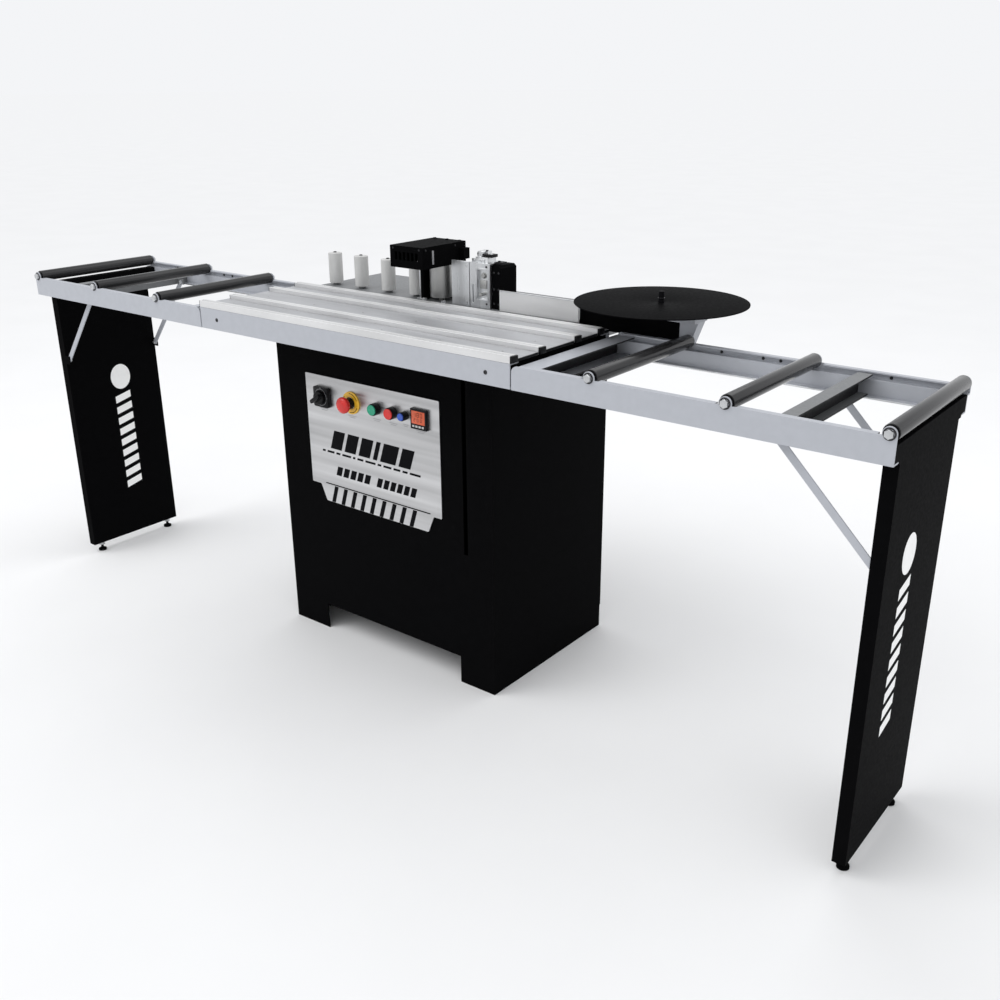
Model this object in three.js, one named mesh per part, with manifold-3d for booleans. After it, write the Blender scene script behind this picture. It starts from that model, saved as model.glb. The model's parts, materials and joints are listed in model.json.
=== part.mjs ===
// Edge banding machine: a sheet-steel cabinet carries a ribbed aluminium table, a banding head
// behind the table, and one roller extension on each side that stands on a panel leg.
// Millimetres, +Z up, +X to the operator's right, the operator stands on the -Y side.
// Inside the layout group, X = 0 is the middle of the table, Y = 0 is the front of the frame
// and Z = 0 is the floor. The exported group moves the origin to the middle of the footprint.
import * as THREE from "three";
import { mergeVertices } from "three/addons/utils/BufferGeometryUtils.js";
import Module from "manifold-3d";

const wasm = await Module();
wasm.setup();

// ---- Driving dimensions ----
const GAP = 0.3; // between touching pieces
const SHEET = 3; // folded sheet steel

const WORK_HEIGHT = 870; // rib tops and support roller tops
const RIB_HEIGHT = 9;
const RIB_WIDTH = 20;
const TABLE_TOP = WORK_HEIGHT - RIB_HEIGHT;
const PROFILE_THICKNESS = 6;
const SEAM = 2; // between neighbouring profiles
const TABLE_HALF = 473;
const TABLE_DEPTH = 350;
const FRAME_BOTTOM = 804;
const FRAME_TOP = TABLE_TOP - PROFILE_THICKNESS - GAP;
const PROFILE_EDGES = [0, 92, 217, 303, TABLE_DEPTH]; // front edge of each profile, and the last rear edge

const WING_INNER = TABLE_HALF + 3;
const WING_END = 1214;
const WING_DEPTH = 378;
const WING_TOP = 852;
const SUPPORT_RADIUS = 14.5;
const SUPPORT_AXIS = WORK_HEIGHT - SUPPORT_RADIUS;
const SUPPORT_END_GAP = 8; // from the outer face of a rail to the roller
const EAR_RADIUS = 12;
const SUPPORT_X = [653, 926, WING_END - EAR_RADIUS];
const PIN_RADIUS = 5;
const PIN_ENGAGEMENT = 8;
const BOLT_HEAD = 6; // how far the axle bolt heads stand in front of the rail

const LEG = { front: 30, rear: 330, bottom: 28, depth: 26 };
const LEG_OUTER_X = [WING_END, -1174]; // right and left: both panels face right
const FOOT_Y = [62, 302];
const BRACE = { width: 14, thickness: 3, topX: 999, topZ: 813, drop: 199 };
const BRACE_FOOT_X = [WING_END - 19, -1164]; // lower end, right and left
const OUTER_CROSS = { x: 1016, width: 28 };

const CABINET = { left: -366, right: 320, front: 136, rear: 588, top: FRAME_BOTTOM };
const PANEL_SCREW = { radius: 5, height: 2 };
const NOTCH = { left: -243, right: 216, top: 70 };
const GRIP_SLOT = { x: 239, width: 12, bottom: 342, top: 785 };

const PLATE = { left: -263, right: 171, bottom: 415, top: 698, thickness: 2.7 };
const PLATE_TAB = { left: -232, right: 146, drop: 42, slant: 18 };
const PLATE_FRONT = CABINET.front - GAP - PLATE.thickness;
const CONTROL_Z = 647;
const CONTROL_STAND_OUT = 17; // how far the bezels stand in front of the plate
const BUTTON_CLEARANCE = 4; // travel behind a push button
const ISOLATOR = { x: -202.5, z: 646.5, size: 50 };
const ESTOP_X = -106;
const START_X = -24;
const STOP_X = 29;
const RESET_X = 68;
const CONTROLLER_X = 114.5;
const CONTROLLER_STAND_OUT = 8;
const CONTROLLER_SIZE = 48;

const HEAD = { left: -432, right: 370, front: TABLE_DEPTH + 2, rear: 588 };
const WORK_LINE = 364; // rear guide line for the panel edge
const PRESS = { first: -403, pitch: 95, count: 4, radius: 18, height: 80, y: 388 };
const FEED = { x: -37, y: 389, radius: 28, height: 92 };
const ROLLER_FLOOR = TABLE_TOP + 6; // underside of the head's rollers
const HOOD = { left: -109, right: -6, front: 289, rear: 447, bottom: 948, top: 999 };
const COIL = { x: 576, y: 386, z: 924, radius: 183, spindle: 6 };

const BOX_CENTRE_Y = (CABINET.rear + PANEL_SCREW.height - BOLT_HEAD) / 2;

// ---- Materials ----
function finish(color, roughness, metalness) {
  return new THREE.MeshStandardMaterial({ color, roughness, metalness });
}
const blackPaint = finish(0x111214, 0.5, 0.1);
const greyPaint = finish(0xa9adb4, 0.45, 0.3);
const aluminium = finish(0xc9cbcd, 0.4, 0.8);
const brushedSteel = finish(0xb4b6b8, 0.35, 0.9);
const rollerSteel = finish(0x5c5e61, 0.3, 0.9);
const darkPaint = finish(0x4a4d52, 0.5, 0.3);
const whiteRubber = finish(0xd9d9d6, 0.6, 0);
const blackPlastic = finish(0x0c0c0d, 0.4, 0);
const redPlastic = finish(0xc8201c, 0.35, 0);
const yellowPlastic = finish(0xe5b81c, 0.4, 0);
const greenPlastic = finish(0x1e9c52, 0.35, 0);
const bluePlastic = finish(0x2450b0, 0.35, 0);

// ---- Geometry helpers ----
function box(x0, x1, y0, y1, z0, z1) {
  const shape = new THREE.BoxGeometry(x1 - x0, y1 - y0, z1 - z0);
  return shape.translate((x0 + x1) / 2, (y0 + y1) / 2, (z0 + z1) / 2);
}

function outline(points) {
  return new THREE.Shape(points.map(([a, b]) => new THREE.Vector2(a, b)));
}

// A shape drawn in X and Z, given a thickness along Y from y0 to y1.
function plateXZ(shape, y0, y1) {
  const plate = new THREE.ExtrudeGeometry(shape, { depth: y1 - y0, bevelEnabled: false, curveSegments: 8 });
  const turn = new THREE.Matrix4().makeBasis(
    new THREE.Vector3(1, 0, 0),
    new THREE.Vector3(0, 0, 1),
    new THREE.Vector3(0, -1, 0),
  );
  return plate.applyMatrix4(turn).translate(0, y1, 0);
}

// A section drawn in Y and Z, run along X from x0 to x1.
function sectionAlongX(section, x0, x1) {
  const run = new THREE.ExtrudeGeometry(section, { depth: x1 - x0, bevelEnabled: false, curveSegments: 8 });
  const turn = new THREE.Matrix4().makeBasis(
    new THREE.Vector3(0, 1, 0),
    new THREE.Vector3(0, 0, 1),
    new THREE.Vector3(1, 0, 0),
  );
  return run.applyMatrix4(turn).translate(x0, 0, 0);
}

// A cylinder along Y from y0 to y1.
function rodY(radius, x, z, y0, y1, sides = 24) {
  return new THREE.CylinderGeometry(radius, radius, y1 - y0, sides).translate(x, (y0 + y1) / 2, z);
}

// A cylinder along Z from z0 to z1.
function rodZ(radius, x, y, z0, z1, sides = 24) {
  const rod = new THREE.CylinderGeometry(radius, radius, z1 - z0, sides).rotateX(Math.PI / 2);
  return rod.translate(x, y, (z0 + z1) / 2);
}

// A turned piece: profile points are [radius, height along the axis].
function turned(profile, segments = 24) {
  return new THREE.LatheGeometry(profile.map(([r, h]) => new THREE.Vector2(r, h)), segments);
}

function solid(geometry) {
  const bare = geometry.index ? geometry.toNonIndexed() : geometry.clone();
  bare.deleteAttribute("normal");
  bare.deleteAttribute("uv");
  const merged = mergeVertices(bare, 1e-3);
  return new wasm.Manifold(
    new wasm.Mesh({
      numProp: 3,
      vertProperties: merged.attributes.position.array,
      triVerts: new Uint32Array(merged.index.array),
    }),
  );
}

function surface(manifold) {
  const mesh = manifold.getMesh();
  const geometry = new THREE.BufferGeometry();
  geometry.setAttribute("position", new THREE.BufferAttribute(mesh.vertProperties, mesh.numProp));
  geometry.setIndex(new THREE.BufferAttribute(mesh.triVerts, 1));
  const faceted = geometry.toNonIndexed();
  faceted.computeVertexNormals();
  return faceted;
}

function join(first, ...others) {
  return surface(others.reduce((whole, other) => whole.add(solid(other)), solid(first)));
}

function cut(body, ...tools) {
  return surface(tools.reduce((rest, tool) => rest.subtract(solid(tool)), solid(body)));
}

function named(name, geometry, material) {
  const mesh = new THREE.Mesh(geometry, material);
  mesh.name = name;
  return mesh;
}

// ---- Cabinet ----
function cabinetShell() {
  const { left, right, front, rear, top } = CABINET;
  const back = rear - SHEET; // the rear panel closes the last sheet thickness
  const lip = 30;
  const shelf = NOTCH.top + 5;
  const walls = join(
    box(left, right, front, front + SHEET, 0, top),
    box(left, left + SHEET, front, back, 0, top),
    box(right - SHEET, right, front, back, 0, top),
    box(left, right, front, back, shelf, shelf + SHEET),
    box(left, right, front, front + lip, top - SHEET, top),
    box(left, right, back - lip, back, top - SHEET, top),
    box(left, left + lip, front, back, top - SHEET, top),
    box(right - lip, right, front, back, top - SHEET, top),
    box(left, left + lip, back - SHEET, back, 0, top),
    box(right - lip, right, back - SHEET, back, 0, top),
    box(left, left + lip, front, back, 0, SHEET),
    box(right - lip, right, front, back, 0, SHEET),
  );
  const through = [front - 1, front + SHEET + 1];
  const half = CONTROLLER_SIZE / 2 - 1.5;
  const slotHalf = GRIP_SLOT.width / 2;
  return cut(
    walls,
    box(NOTCH.left, NOTCH.right, ...through, -1, NOTCH.top),
    box(GRIP_SLOT.x - slotHalf, GRIP_SLOT.x + slotHalf, ...through, GRIP_SLOT.bottom, GRIP_SLOT.top),
    box(CONTROLLER_X - half, CONTROLLER_X + half, ...through, CONTROL_Z - half, CONTROL_Z + half),
  );
}

function cabinetRearPanel() {
  const { left, right, rear, top } = CABINET;
  const bottom = 60;
  const inset = 14;
  const panel = box(left, right, rear - SHEET + GAP, rear, bottom, top);
  const slots = [];
  for (const column of [-200, 150]) {
    for (let row = 0; row < 6; row++) {
      const z = 560 + row * 26;
      slots.push(box(column - 70, column + 70, rear - SHEET - 1, rear + 1, z, z + 8));
    }
  }
  const screws = [];
  for (const x of [left + inset, right - inset]) {
    for (const z of [bottom + inset, (bottom + top) / 2, top - inset]) {
      screws.push(rodY(PANEL_SCREW.radius, x, z, rear - 1, rear + PANEL_SCREW.height, 16));
    }
  }
  return join(cut(panel, ...slots), ...screws);
}

// Mounting sheet on the left wall with a contactor, an overload relay and a terminal strip.
function electricalPanel() {
  const x = CABINET.left + SHEET + GAP;
  const face = x + SHEET;
  return join(
    box(x, face, 200, 520, 300, 700),
    box(x, face + 60, 230, 310, 540, 660),
    box(x, face + 55, 330, 400, 550, 650),
    box(x, face + 30, 230, 490, 380, 420),
    box(x, face + 45, 425, 490, 540, 660),
  );
}

// ---- Controls ----
function controlPlate() {
  const { left, right, bottom, top } = PLATE;
  const tab = PLATE_TAB;
  const face = outline([
    [left, bottom],
    [tab.left, bottom],
    [tab.left + tab.slant, bottom - tab.drop],
    [tab.right - tab.slant, bottom - tab.drop],
    [tab.right, bottom],
    [right, bottom],
    [right, top],
    [left, top],
  ]);
  const back = CABINET.front - GAP;
  const half = CONTROLLER_SIZE / 2 - 1.5;
  const bezels = [
    [START_X, 14.5, 13.2],
    [STOP_X, 14.5, 13.2],
    [RESET_X, 10.5, 9.2],
  ];
  const standOut = PLATE_FRONT - CONTROL_STAND_OUT;
  const rings = bezels.map(([x, outer]) => rodY(outer, x, CONTROL_Z, standOut, PLATE_FRONT + 1));
  const wells = bezels.map(([x, , inner]) => rodY(inner, x, CONTROL_Z, standOut - 1, PLATE_FRONT));
  const window = box(
    CONTROLLER_X - half,
    CONTROLLER_X + half,
    PLATE_FRONT - 1,
    back + 1,
    CONTROL_Z - half,
    CONTROL_Z + half,
  );
  return cut(join(plateXZ(face, PLATE_FRONT, back), ...rings), ...wells, window);
}

// A push button that stands a little proud of its bezel.
function pushButton(radius) {
  const edge = 1.2;
  const length = CONTROL_STAND_OUT + 2.5 - BUTTON_CLEARANCE;
  return turned([
    [0, 0],
    [radius, 0],
    [radius, length - edge],
    [radius - edge, length],
    [0, length],
  ]);
}

function emergencyButton() {
  return turned([
    [0, 0],
    [14, 0],
    [14, 15.5],
    [18, 16.5],
    [20, 20],
    [20, 25],
    [18, 28],
    [12, 30.5],
    [0, 31.5],
  ]);
}

function emergencyCollar() {
  return turned([
    [15, 0],
    [27.5, 0],
    [27.5, 3.2],
    [26, 4.7],
    [15, 4.7],
    [15, 0],
  ]);
}

// The switch handle: a round skirt with a bar across it, turning about Y.
function isolatorKnob() {
  const tilt = THREE.MathUtils.degToRad(55);
  return join(rodY(17, 0, 0, -10, 0), box(-5, 5, -21, -9, -19, 19).rotateY(tilt));
}

function temperatureController() {
  const half = CONTROLLER_SIZE / 2;
  const neck = half - 2;
  return join(
    box(-half, half, -CONTROLLER_STAND_OUT, 0, -half, half),
    box(-neck, neck, -1, 78, -neck, neck),
  );
}

function controls() {
  const group = new THREE.Group();
  const face = PLATE_FRONT - GAP;
  group.add(named("control_plate", controlPlate(), brushedSteel));
  const half = ISOLATOR.size / 2;
  const base = named("isolator_base", box(-half, half, -10, 0, -half, half), blackPlastic);
  base.position.set(ISOLATOR.x, face, ISOLATOR.z);
  const knob = named("isolator_knob", isolatorKnob(), blackPlastic);
  knob.position.set(ISOLATOR.x, face - 10 - GAP, ISOLATOR.z);
  const collar = named("estop_collar", emergencyCollar(), yellowPlastic);
  collar.position.set(ESTOP_X, face, CONTROL_Z);
  collar.rotation.x = Math.PI;
  const estop = named("estop_button", emergencyButton(), redPlastic);
  estop.position.set(ESTOP_X, PLATE_FRONT - 5.5, CONTROL_Z);
  estop.rotation.x = Math.PI;
  group.add(base, knob, collar, estop);
  const buttons = [
    ["start_button", START_X, 12.8, greenPlastic],
    ["stop_button", STOP_X, 12.8, redPlastic],
    ["reset_button", RESET_X, 8.8, bluePlastic],
  ];
  for (const [name, x, radius, material] of buttons) {
    const button = named(name, pushButton(radius), material);
    button.position.set(x, PLATE_FRONT - BUTTON_CLEARANCE, CONTROL_Z);
    button.rotation.x = Math.PI;
    group.add(button);
  }
  const controller = named("temperature_controller", temperatureController(), blackPlastic);
  controller.position.set(CONTROLLER_X, face, CONTROL_Z);
  group.add(controller);
  return group;
}

// ---- Table ----
// A channel of folded sheet along X: its web faces outwards at y = webY, and its flanges point inwards.
function tableChannel(webY, inwards) {
  const flange = 28;
  const webInner = webY + inwards * SHEET;
  const flangeEnd = webY + inwards * flange;
  const [w0, w1] = [Math.min(webY, webInner), Math.max(webY, webInner)];
  const [f0, f1] = [Math.min(webY, flangeEnd), Math.max(webY, flangeEnd)];
  return join(
    box(-TABLE_HALF, TABLE_HALF, w0, w1, FRAME_BOTTOM + GAP, FRAME_TOP),
    box(-TABLE_HALF, TABLE_HALF, f0, f1, FRAME_BOTTOM + GAP, FRAME_BOTTOM + GAP + SHEET),
    box(-TABLE_HALF, TABLE_HALF, f0, f1, FRAME_TOP - SHEET, FRAME_TOP),
  );
}

// A bearer that carries the profiles near one end of the table, between the two channels.
function tableBearer(side) {
  const outer = side * (TABLE_HALF - 6);
  const inner = side * (TABLE_HALF - 40);
  const webEnd = outer - side * SHEET;
  const [x0, x1] = [Math.min(outer, inner), Math.max(outer, inner)];
  const [w0, w1] = [Math.min(outer, webEnd), Math.max(outer, webEnd)];
  const front = SHEET + GAP;
  const rear = TABLE_DEPTH - SHEET - GAP;
  const flangeTop = FRAME_TOP - SHEET - GAP;
  const flangeBottom = FRAME_BOTTOM + SHEET + 2 * GAP;
  return join(
    box(w0, w1, front, rear, flangeBottom, flangeTop),
    box(x0, x1, front, rear, flangeTop - SHEET, flangeTop),
  );
}

// An extruded profile with a flat top, a raised rib along its front edge and two feet.
function tableProfile(front, rear) {
  const under = TABLE_TOP - PROFILE_THICKNESS;
  const groove = 1.5; // half its width
  const grooveDepth = 4;
  const ribMiddle = front + RIB_WIDTH / 2;
  const section = outline([
    [front, under],
    [rear, under],
    [rear, TABLE_TOP],
    [front + RIB_WIDTH, TABLE_TOP],
    [front + RIB_WIDTH, WORK_HEIGHT],
    [ribMiddle + groove, WORK_HEIGHT],
    [ribMiddle + groove, WORK_HEIGHT - grooveDepth],
    [ribMiddle - groove, WORK_HEIGHT - grooveDepth],
    [ribMiddle - groove, WORK_HEIGHT],
    [front, WORK_HEIGHT],
  ]);
  return sectionAlongX(section, -TABLE_HALF, TABLE_HALF);
}

function table() {
  const group = new THREE.Group();
  group.add(named("front_fascia", tableChannel(0, 1), greyPaint));
  group.add(named("rear_fascia", tableChannel(TABLE_DEPTH, -1), greyPaint));
  group.add(named("table_bearer_left", tableBearer(-1), blackPaint));
  group.add(named("table_bearer_right", tableBearer(1), blackPaint));
  for (let i = 0; i < PROFILE_EDGES.length - 1; i++) {
    const geometry = tableProfile(PROFILE_EDGES[i], PROFILE_EDGES[i + 1] - SEAM);
    group.add(named(`table_profile_${i + 1}`, geometry, aluminium));
  }
  return group;
}

// ---- Extensions ----
// The web of a side rail, with a round-topped ear at each support roller.
function railWeb() {
  const corner = 14;
  const web = new THREE.Shape();
  web.moveTo(WING_INNER, FRAME_BOTTOM);
  web.lineTo(WING_END, FRAME_BOTTOM);
  for (const x of [...SUPPORT_X].reverse()) {
    web.lineTo(x + EAR_RADIUS, WING_TOP);
    web.lineTo(x + EAR_RADIUS, SUPPORT_AXIS);
    web.absarc(x, SUPPORT_AXIS, EAR_RADIUS, 0, Math.PI, false);
    web.lineTo(x - EAR_RADIUS, WING_TOP);
  }
  web.lineTo(WING_INNER + corner, WING_TOP);
  web.absarc(WING_INNER + corner, WING_TOP - corner, corner, Math.PI / 2, Math.PI, false);
  return web;
}

// The top flange stops short of each roller.
function railTopFlange(y0, y1) {
  const clear = SUPPORT_RADIUS + 5;
  const starts = [WING_INNER + 16, ...SUPPORT_X.slice(0, -1).map((x) => x + clear)];
  return starts.map((start, i) => box(start, SUPPORT_X[i] - clear, y0, y1, WING_TOP - SHEET, WING_TOP));
}

// An axle bolt at each roller: head outside the ear, pin reaching into the roller.
function axleBolts(outerY, inwards) {
  return SUPPORT_X.flatMap((x) => {
    const headEnd = outerY - inwards * BOLT_HEAD;
    const pinEnd = outerY + inwards * (SUPPORT_END_GAP + PIN_ENGAGEMENT);
    const inside = outerY + inwards;
    return [
      rodY(8, x, SUPPORT_AXIS, Math.min(headEnd, inside), Math.max(headEnd, inside), 6),
      rodY(PIN_RADIUS, x, SUPPORT_AXIS, Math.min(inside, pinEnd), Math.max(inside, pinEnd), 16),
    ];
  });
}

function frontRail() {
  return join(
    plateXZ(railWeb(), 0, SHEET),
    box(WING_INNER, WING_END, 0, 22, FRAME_BOTTOM, FRAME_BOTTOM + SHEET),
    ...railTopFlange(0, 14),
    ...axleBolts(0, 1),
  );
}

// The rear rail steps inwards below its top edge, and ends in a bottom flange.
function rearRail() {
  const y = WING_DEPTH;
  const ledge = SUPPORT_AXIS - SUPPORT_RADIUS - 3;
  const innerWeb = y - 16;
  const upper = cut(
    plateXZ(railWeb(), y - SHEET, y),
    box(WING_INNER - 1, WING_END + 1, y - SHEET - 1, y + 1, FRAME_BOTTOM - 1, ledge - SHEET),
  );
  return join(
    upper,
    box(WING_INNER, WING_END, innerWeb, y, ledge - SHEET, ledge),
    box(WING_INNER, WING_END, innerWeb, innerWeb + SHEET, FRAME_BOTTOM, ledge),
    box(WING_INNER, WING_END, innerWeb - 14, innerWeb + SHEET, FRAME_BOTTOM, FRAME_BOTTOM + SHEET),
    ...railTopFlange(y - 12, y),
    ...axleBolts(y, -1),
  );
}

// A cross channel between the rails, open towards the outer end.
function crossMember(x0, width) {
  const top = WING_TOP - SHEET - GAP;
  const bottom = FRAME_BOTTOM + SHEET + GAP;
  const front = SHEET + GAP;
  const rear = WING_DEPTH - 16 - GAP;
  return join(
    box(x0, x0 + SHEET, front, rear, bottom, top),
    box(x0, x0 + width, front, rear, top - SHEET, top),
    box(x0, x0 + width * 0.8, front, rear, bottom, bottom + SHEET),
  );
}

// The outer cross member also carries an ear at each end, where a leg brace is bolted.
function outerCross() {
  const reach = BRACE.width / 2 + 4;
  const tabs = [LEG.front, LEG.rear - SHEET].map((y) =>
    box(BRACE.topX - reach, OUTER_CROSS.x + 1, y, y + SHEET, BRACE.topZ - 5, BRACE.topZ + reach),
  );
  return join(crossMember(OUTER_CROSS.x, OUTER_CROSS.width), ...tabs);
}

// A hollow support roller, turning about Y on the two axle pins.
function supportRoller() {
  const length = WING_DEPTH - 2 * SUPPORT_END_GAP;
  const bore = PIN_RADIUS + 0.5;
  const bush = 12;
  const wall = SUPPORT_RADIUS - 3;
  return turned(
    [
      [bore, 0],
      [SUPPORT_RADIUS, 0],
      [SUPPORT_RADIUS, length],
      [bore, length],
      [bore, length - bush],
      [wall, length - bush],
      [wall, bush],
      [bore, bush],
      [bore, 0],
    ],
    28,
  );
}

function extension(label, mirror) {
  const group = new THREE.Group();
  group.add(named(`${label}_front_rail`, frontRail(), greyPaint));
  group.add(named(`${label}_rear_rail`, rearRail(), greyPaint));
  group.add(named(`${label}_inner_cross`, crossMember(WING_INNER + 8, 46), greyPaint));
  group.add(named(`${label}_outer_cross`, outerCross(), darkPaint));
  SUPPORT_X.forEach((x, i) => {
    const roller = named(`${label}_support_roller_${i + 1}`, supportRoller(), rollerSteel);
    roller.position.set(x, SUPPORT_END_GAP, SUPPORT_AXIS);
    group.add(roller);
  });
  group.scale.x = mirror;
  return group;
}

// ---- Legs ----
// A tall panel folded into a tray that opens to the left, under a bar that ties the two rails.
// Its outer face is at x = 0. The left leg carries a tab for each brace on that face.
function legPanel(tabs) {
  const { front, rear, bottom, depth } = LEG;
  const top = FRAME_BOTTOM - GAP;
  const barTop = SUPPORT_AXIS - SUPPORT_RADIUS - 3;
  const barBottom = FRAME_BOTTOM + SHEET + GAP;
  const barFront = SHEET + GAP;
  const barRear = WING_DEPTH - 16 - GAP;
  const neck = { front: 26, rear: WING_DEPTH - 16 - 14 - 6 };
  const panel = join(
    box(-SHEET, 0, front, rear, bottom, top),
    box(-depth, 0, front, front + SHEET, bottom, top),
    box(-depth, 0, rear - SHEET, rear, bottom, top),
    box(-depth, 0, front, rear, bottom, bottom + SHEET),
    box(-depth, 0, front, rear, top - SHEET, top),
    box(-SHEET, 0, neck.front, neck.rear, top - SHEET, barBottom + SHEET),
    box(-SHEET, 0, barFront, barRear, barBottom, barTop),
    box(-depth, 0, neck.front, neck.rear, barBottom, barBottom + SHEET),
    box(-depth, 0, barFront, barRear, barTop - SHEET, barTop),
    ...tabs,
  );
  const holes = FOOT_Y.map((y) => rodZ(4.4, -depth / 2 - 1, y, bottom - 1, bottom + SHEET + 1, 16));
  return cut(panel, ...holes);
}

function levellingFoot() {
  return turned([
    [0, 0],
    [11, 0],
    [12, 1],
    [12, 5],
    [5, 9],
    [4, 10],
    [4, LEG.bottom + 18],
    [0, LEG.bottom + 18],
  ]);
}

// A flat bar with round ends between two points of the X-Z plane.
function braceBar(fromX, fromZ, toX, toZ) {
  const angle = Math.atan2(toZ - fromZ, toX - fromX);
  const radius = BRACE.width / 2;
  const bar = new THREE.Shape();
  bar.absarc(fromX, fromZ, radius, angle + Math.PI / 2, angle + (3 * Math.PI) / 2, false);
  bar.absarc(toX, toZ, radius, angle - Math.PI / 2, angle + Math.PI / 2, false);
  return plateXZ(bar, 0, BRACE.thickness);
}

function braceTabs() {
  const z = BRACE.topZ - BRACE.drop;
  return [LEG.front, LEG.rear - SHEET].map((y) => box(-1, 18, y, y + SHEET, z - 12, z + 12));
}

function legSet(label, outerX, braceFootX, tabs) {
  const group = new THREE.Group();
  const leg = named(`${label}_leg`, legPanel(tabs), blackPaint);
  leg.position.x = outerX;
  group.add(leg);
  const places = ["front", "rear"];
  places.forEach((place, i) => {
    const foot = named(`${label}_${place}_foot`, levellingFoot(), blackPaint);
    foot.rotation.x = Math.PI / 2;
    foot.position.set(outerX - LEG.depth / 2 - 1, FOOT_Y[i], 0);
    const topX = Math.sign(outerX) * BRACE.topX;
    const geometry = braceBar(topX, BRACE.topZ, braceFootX, BRACE.topZ - BRACE.drop);
    const brace = named(`${label}_${place}_brace`, geometry, greyPaint);
    const insideFront = LEG.front + SHEET + GAP;
    const insideRear = LEG.rear - SHEET - GAP - BRACE.thickness;
    brace.position.y = i === 0 ? insideFront : insideRear;
    group.add(foot, brace);
  });
  return group;
}

// ---- Banding head ----
// A tray behind the table with a stud for each pressure roller and a hole for the feed shaft.
function headBasePlate() {
  const { left, right, front, rear } = HEAD;
  const top = TABLE_TOP;
  const skirt = FRAME_BOTTOM + GAP;
  const studs = pressureX().flatMap((x) => [
    rodZ(9, x, PRESS.y, top - 1, top + 5, 16),
    rodZ(6, x, PRESS.y, top - 1, top + 40, 16),
  ]);
  const tray = join(
    box(left, right, front, rear, top - 4, top),
    box(left, right, rear - SHEET, rear, skirt, top),
    box(left, right, front, front + SHEET, skirt, top),
    box(left, left + SHEET, front, rear, skirt, top),
    box(right - SHEET, right, front, rear, skirt, top),
    ...studs,
  );
  return cut(tray, rodZ(9, FEED.x, FEED.y, top - 5, top + 1));
}

function pressureX() {
  return Array.from({ length: PRESS.count }, (_, i) => PRESS.first + i * PRESS.pitch);
}

// A covered idler that turns on its stud, closed at the top.
function pressureRoller() {
  const bore = 6.5;
  const depth = 42;
  return turned([
    [0, depth],
    [bore, depth],
    [bore, 0],
    [PRESS.radius, 0],
    [PRESS.radius, PRESS.height - 2],
    [PRESS.radius - 2, PRESS.height],
    [0, PRESS.height],
  ]);
}

// The driven roller with its shaft, which reaches down into the gearbox.
function feedRoller() {
  return turned(
    [
      [0, -58],
      [8, -58],
      [8, 0],
      [FEED.radius, 0],
      [FEED.radius, FEED.height],
      [0, FEED.height],
    ],
    32,
  );
}

function feedGearmotor() {
  const top = TABLE_TOP - 4 - GAP;
  const half = 45;
  const body = join(
    box(FEED.x - half, FEED.x + half, FEED.y - 32, FEED.y + half, top - 78, top),
    rodZ(32, FEED.x, FEED.y + 4, top - 210, top - 77),
  );
  return cut(body, rodZ(8.5, FEED.x, FEED.y, top - 52, top + 1));
}

// A vented cover, open underneath, on a post and a rear sheet.
function hood() {
  const { left, right, front, rear, bottom, top } = HOOD;
  const wall = 2.5;
  const floor = TABLE_TOP + GAP;
  const shell = cut(
    box(left, right, front, rear, bottom, top),
    box(left + wall, right - wall, front + wall, rear - wall, bottom - 1, top - wall),
  );
  const vents = [];
  const count = 6;
  const pitch = 13;
  for (let i = 0; i < count; i++) {
    const x = (left + right) / 2 + (i - (count - 1) / 2) * pitch;
    vents.push(box(x - 4, x + 4, front - 1, front + wall + 1, bottom + 18, top - 14));
  }
  const screws = [left + 12, (left + right) / 2, right - 12].map((x) =>
    rodZ(4, x, rear - 10, top - 1, top + 2, 16),
  );
  return join(
    cut(shell, ...vents),
    ...screws,
    box(right - 1, right + 12, rear - 22, rear, 958, 984),
    box(left + 10, right - 10, rear - wall, rear, floor, top - 10),
    box(left + 10, right - 10, rear - 28, rear, floor, floor + SHEET),
    box(-90, -76, 400, rear, floor, top - 10),
  );
}

// Glue tank: a deep pot behind a tall front plate.
function glueTank() {
  const floor = TABLE_TOP + GAP;
  const body = join(
    box(18, 72, WORK_LINE, WORK_LINE + 4, floor, 966),
    box(18, 72, WORK_LINE + 3, 440, floor, 952),
  );
  return cut(body, box(25, 65, WORK_LINE + 14, 430, 890, 960));
}

// The slot that guides the blade runs through the block from front to back.
const BLADE = { x: 82, thickness: 3, front: WORK_LINE + 2, rear: 418, bottom: 872, top: 914 };

function cutterBlock() {
  const floor = TABLE_TOP + GAP;
  const side = 0.5;
  const block = join(
    box(74, 134, WORK_LINE, 420, floor, 966),
    box(86, 122, 372, 404, 965, 978),
    rodY(8, 95, 984, 376, 400, 16),
    rodZ(5, 116, 388, 977, 992, 16),
  );
  const guide = box(
    BLADE.x - side,
    BLADE.x + BLADE.thickness + side,
    WORK_LINE - 1,
    421,
    BLADE.bottom - side,
    BLADE.top + side,
  );
  return cut(block, guide, box(96, 128, WORK_LINE - 1, WORK_LINE + 7, 882, 950));
}

function cutterSolenoid() {
  const floor = TABLE_TOP + GAP;
  const [left, right, top] = [134 + GAP, 160, 962];
  const corner = 6;
  const face = outline([
    [left, floor],
    [right, floor],
    [right, top - corner],
    [right - corner, top],
    [left, top],
  ]);
  return plateXZ(face, 372, 432);
}

function tapeFence() {
  const floor = TABLE_TOP + GAP;
  return join(
    box(162, 383, WORK_LINE, WORK_LINE + SHEET, floor, 909),
    box(162, HEAD.right - 2, WORK_LINE, WORK_LINE + 20, floor, floor + SHEET),
  );
}

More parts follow.
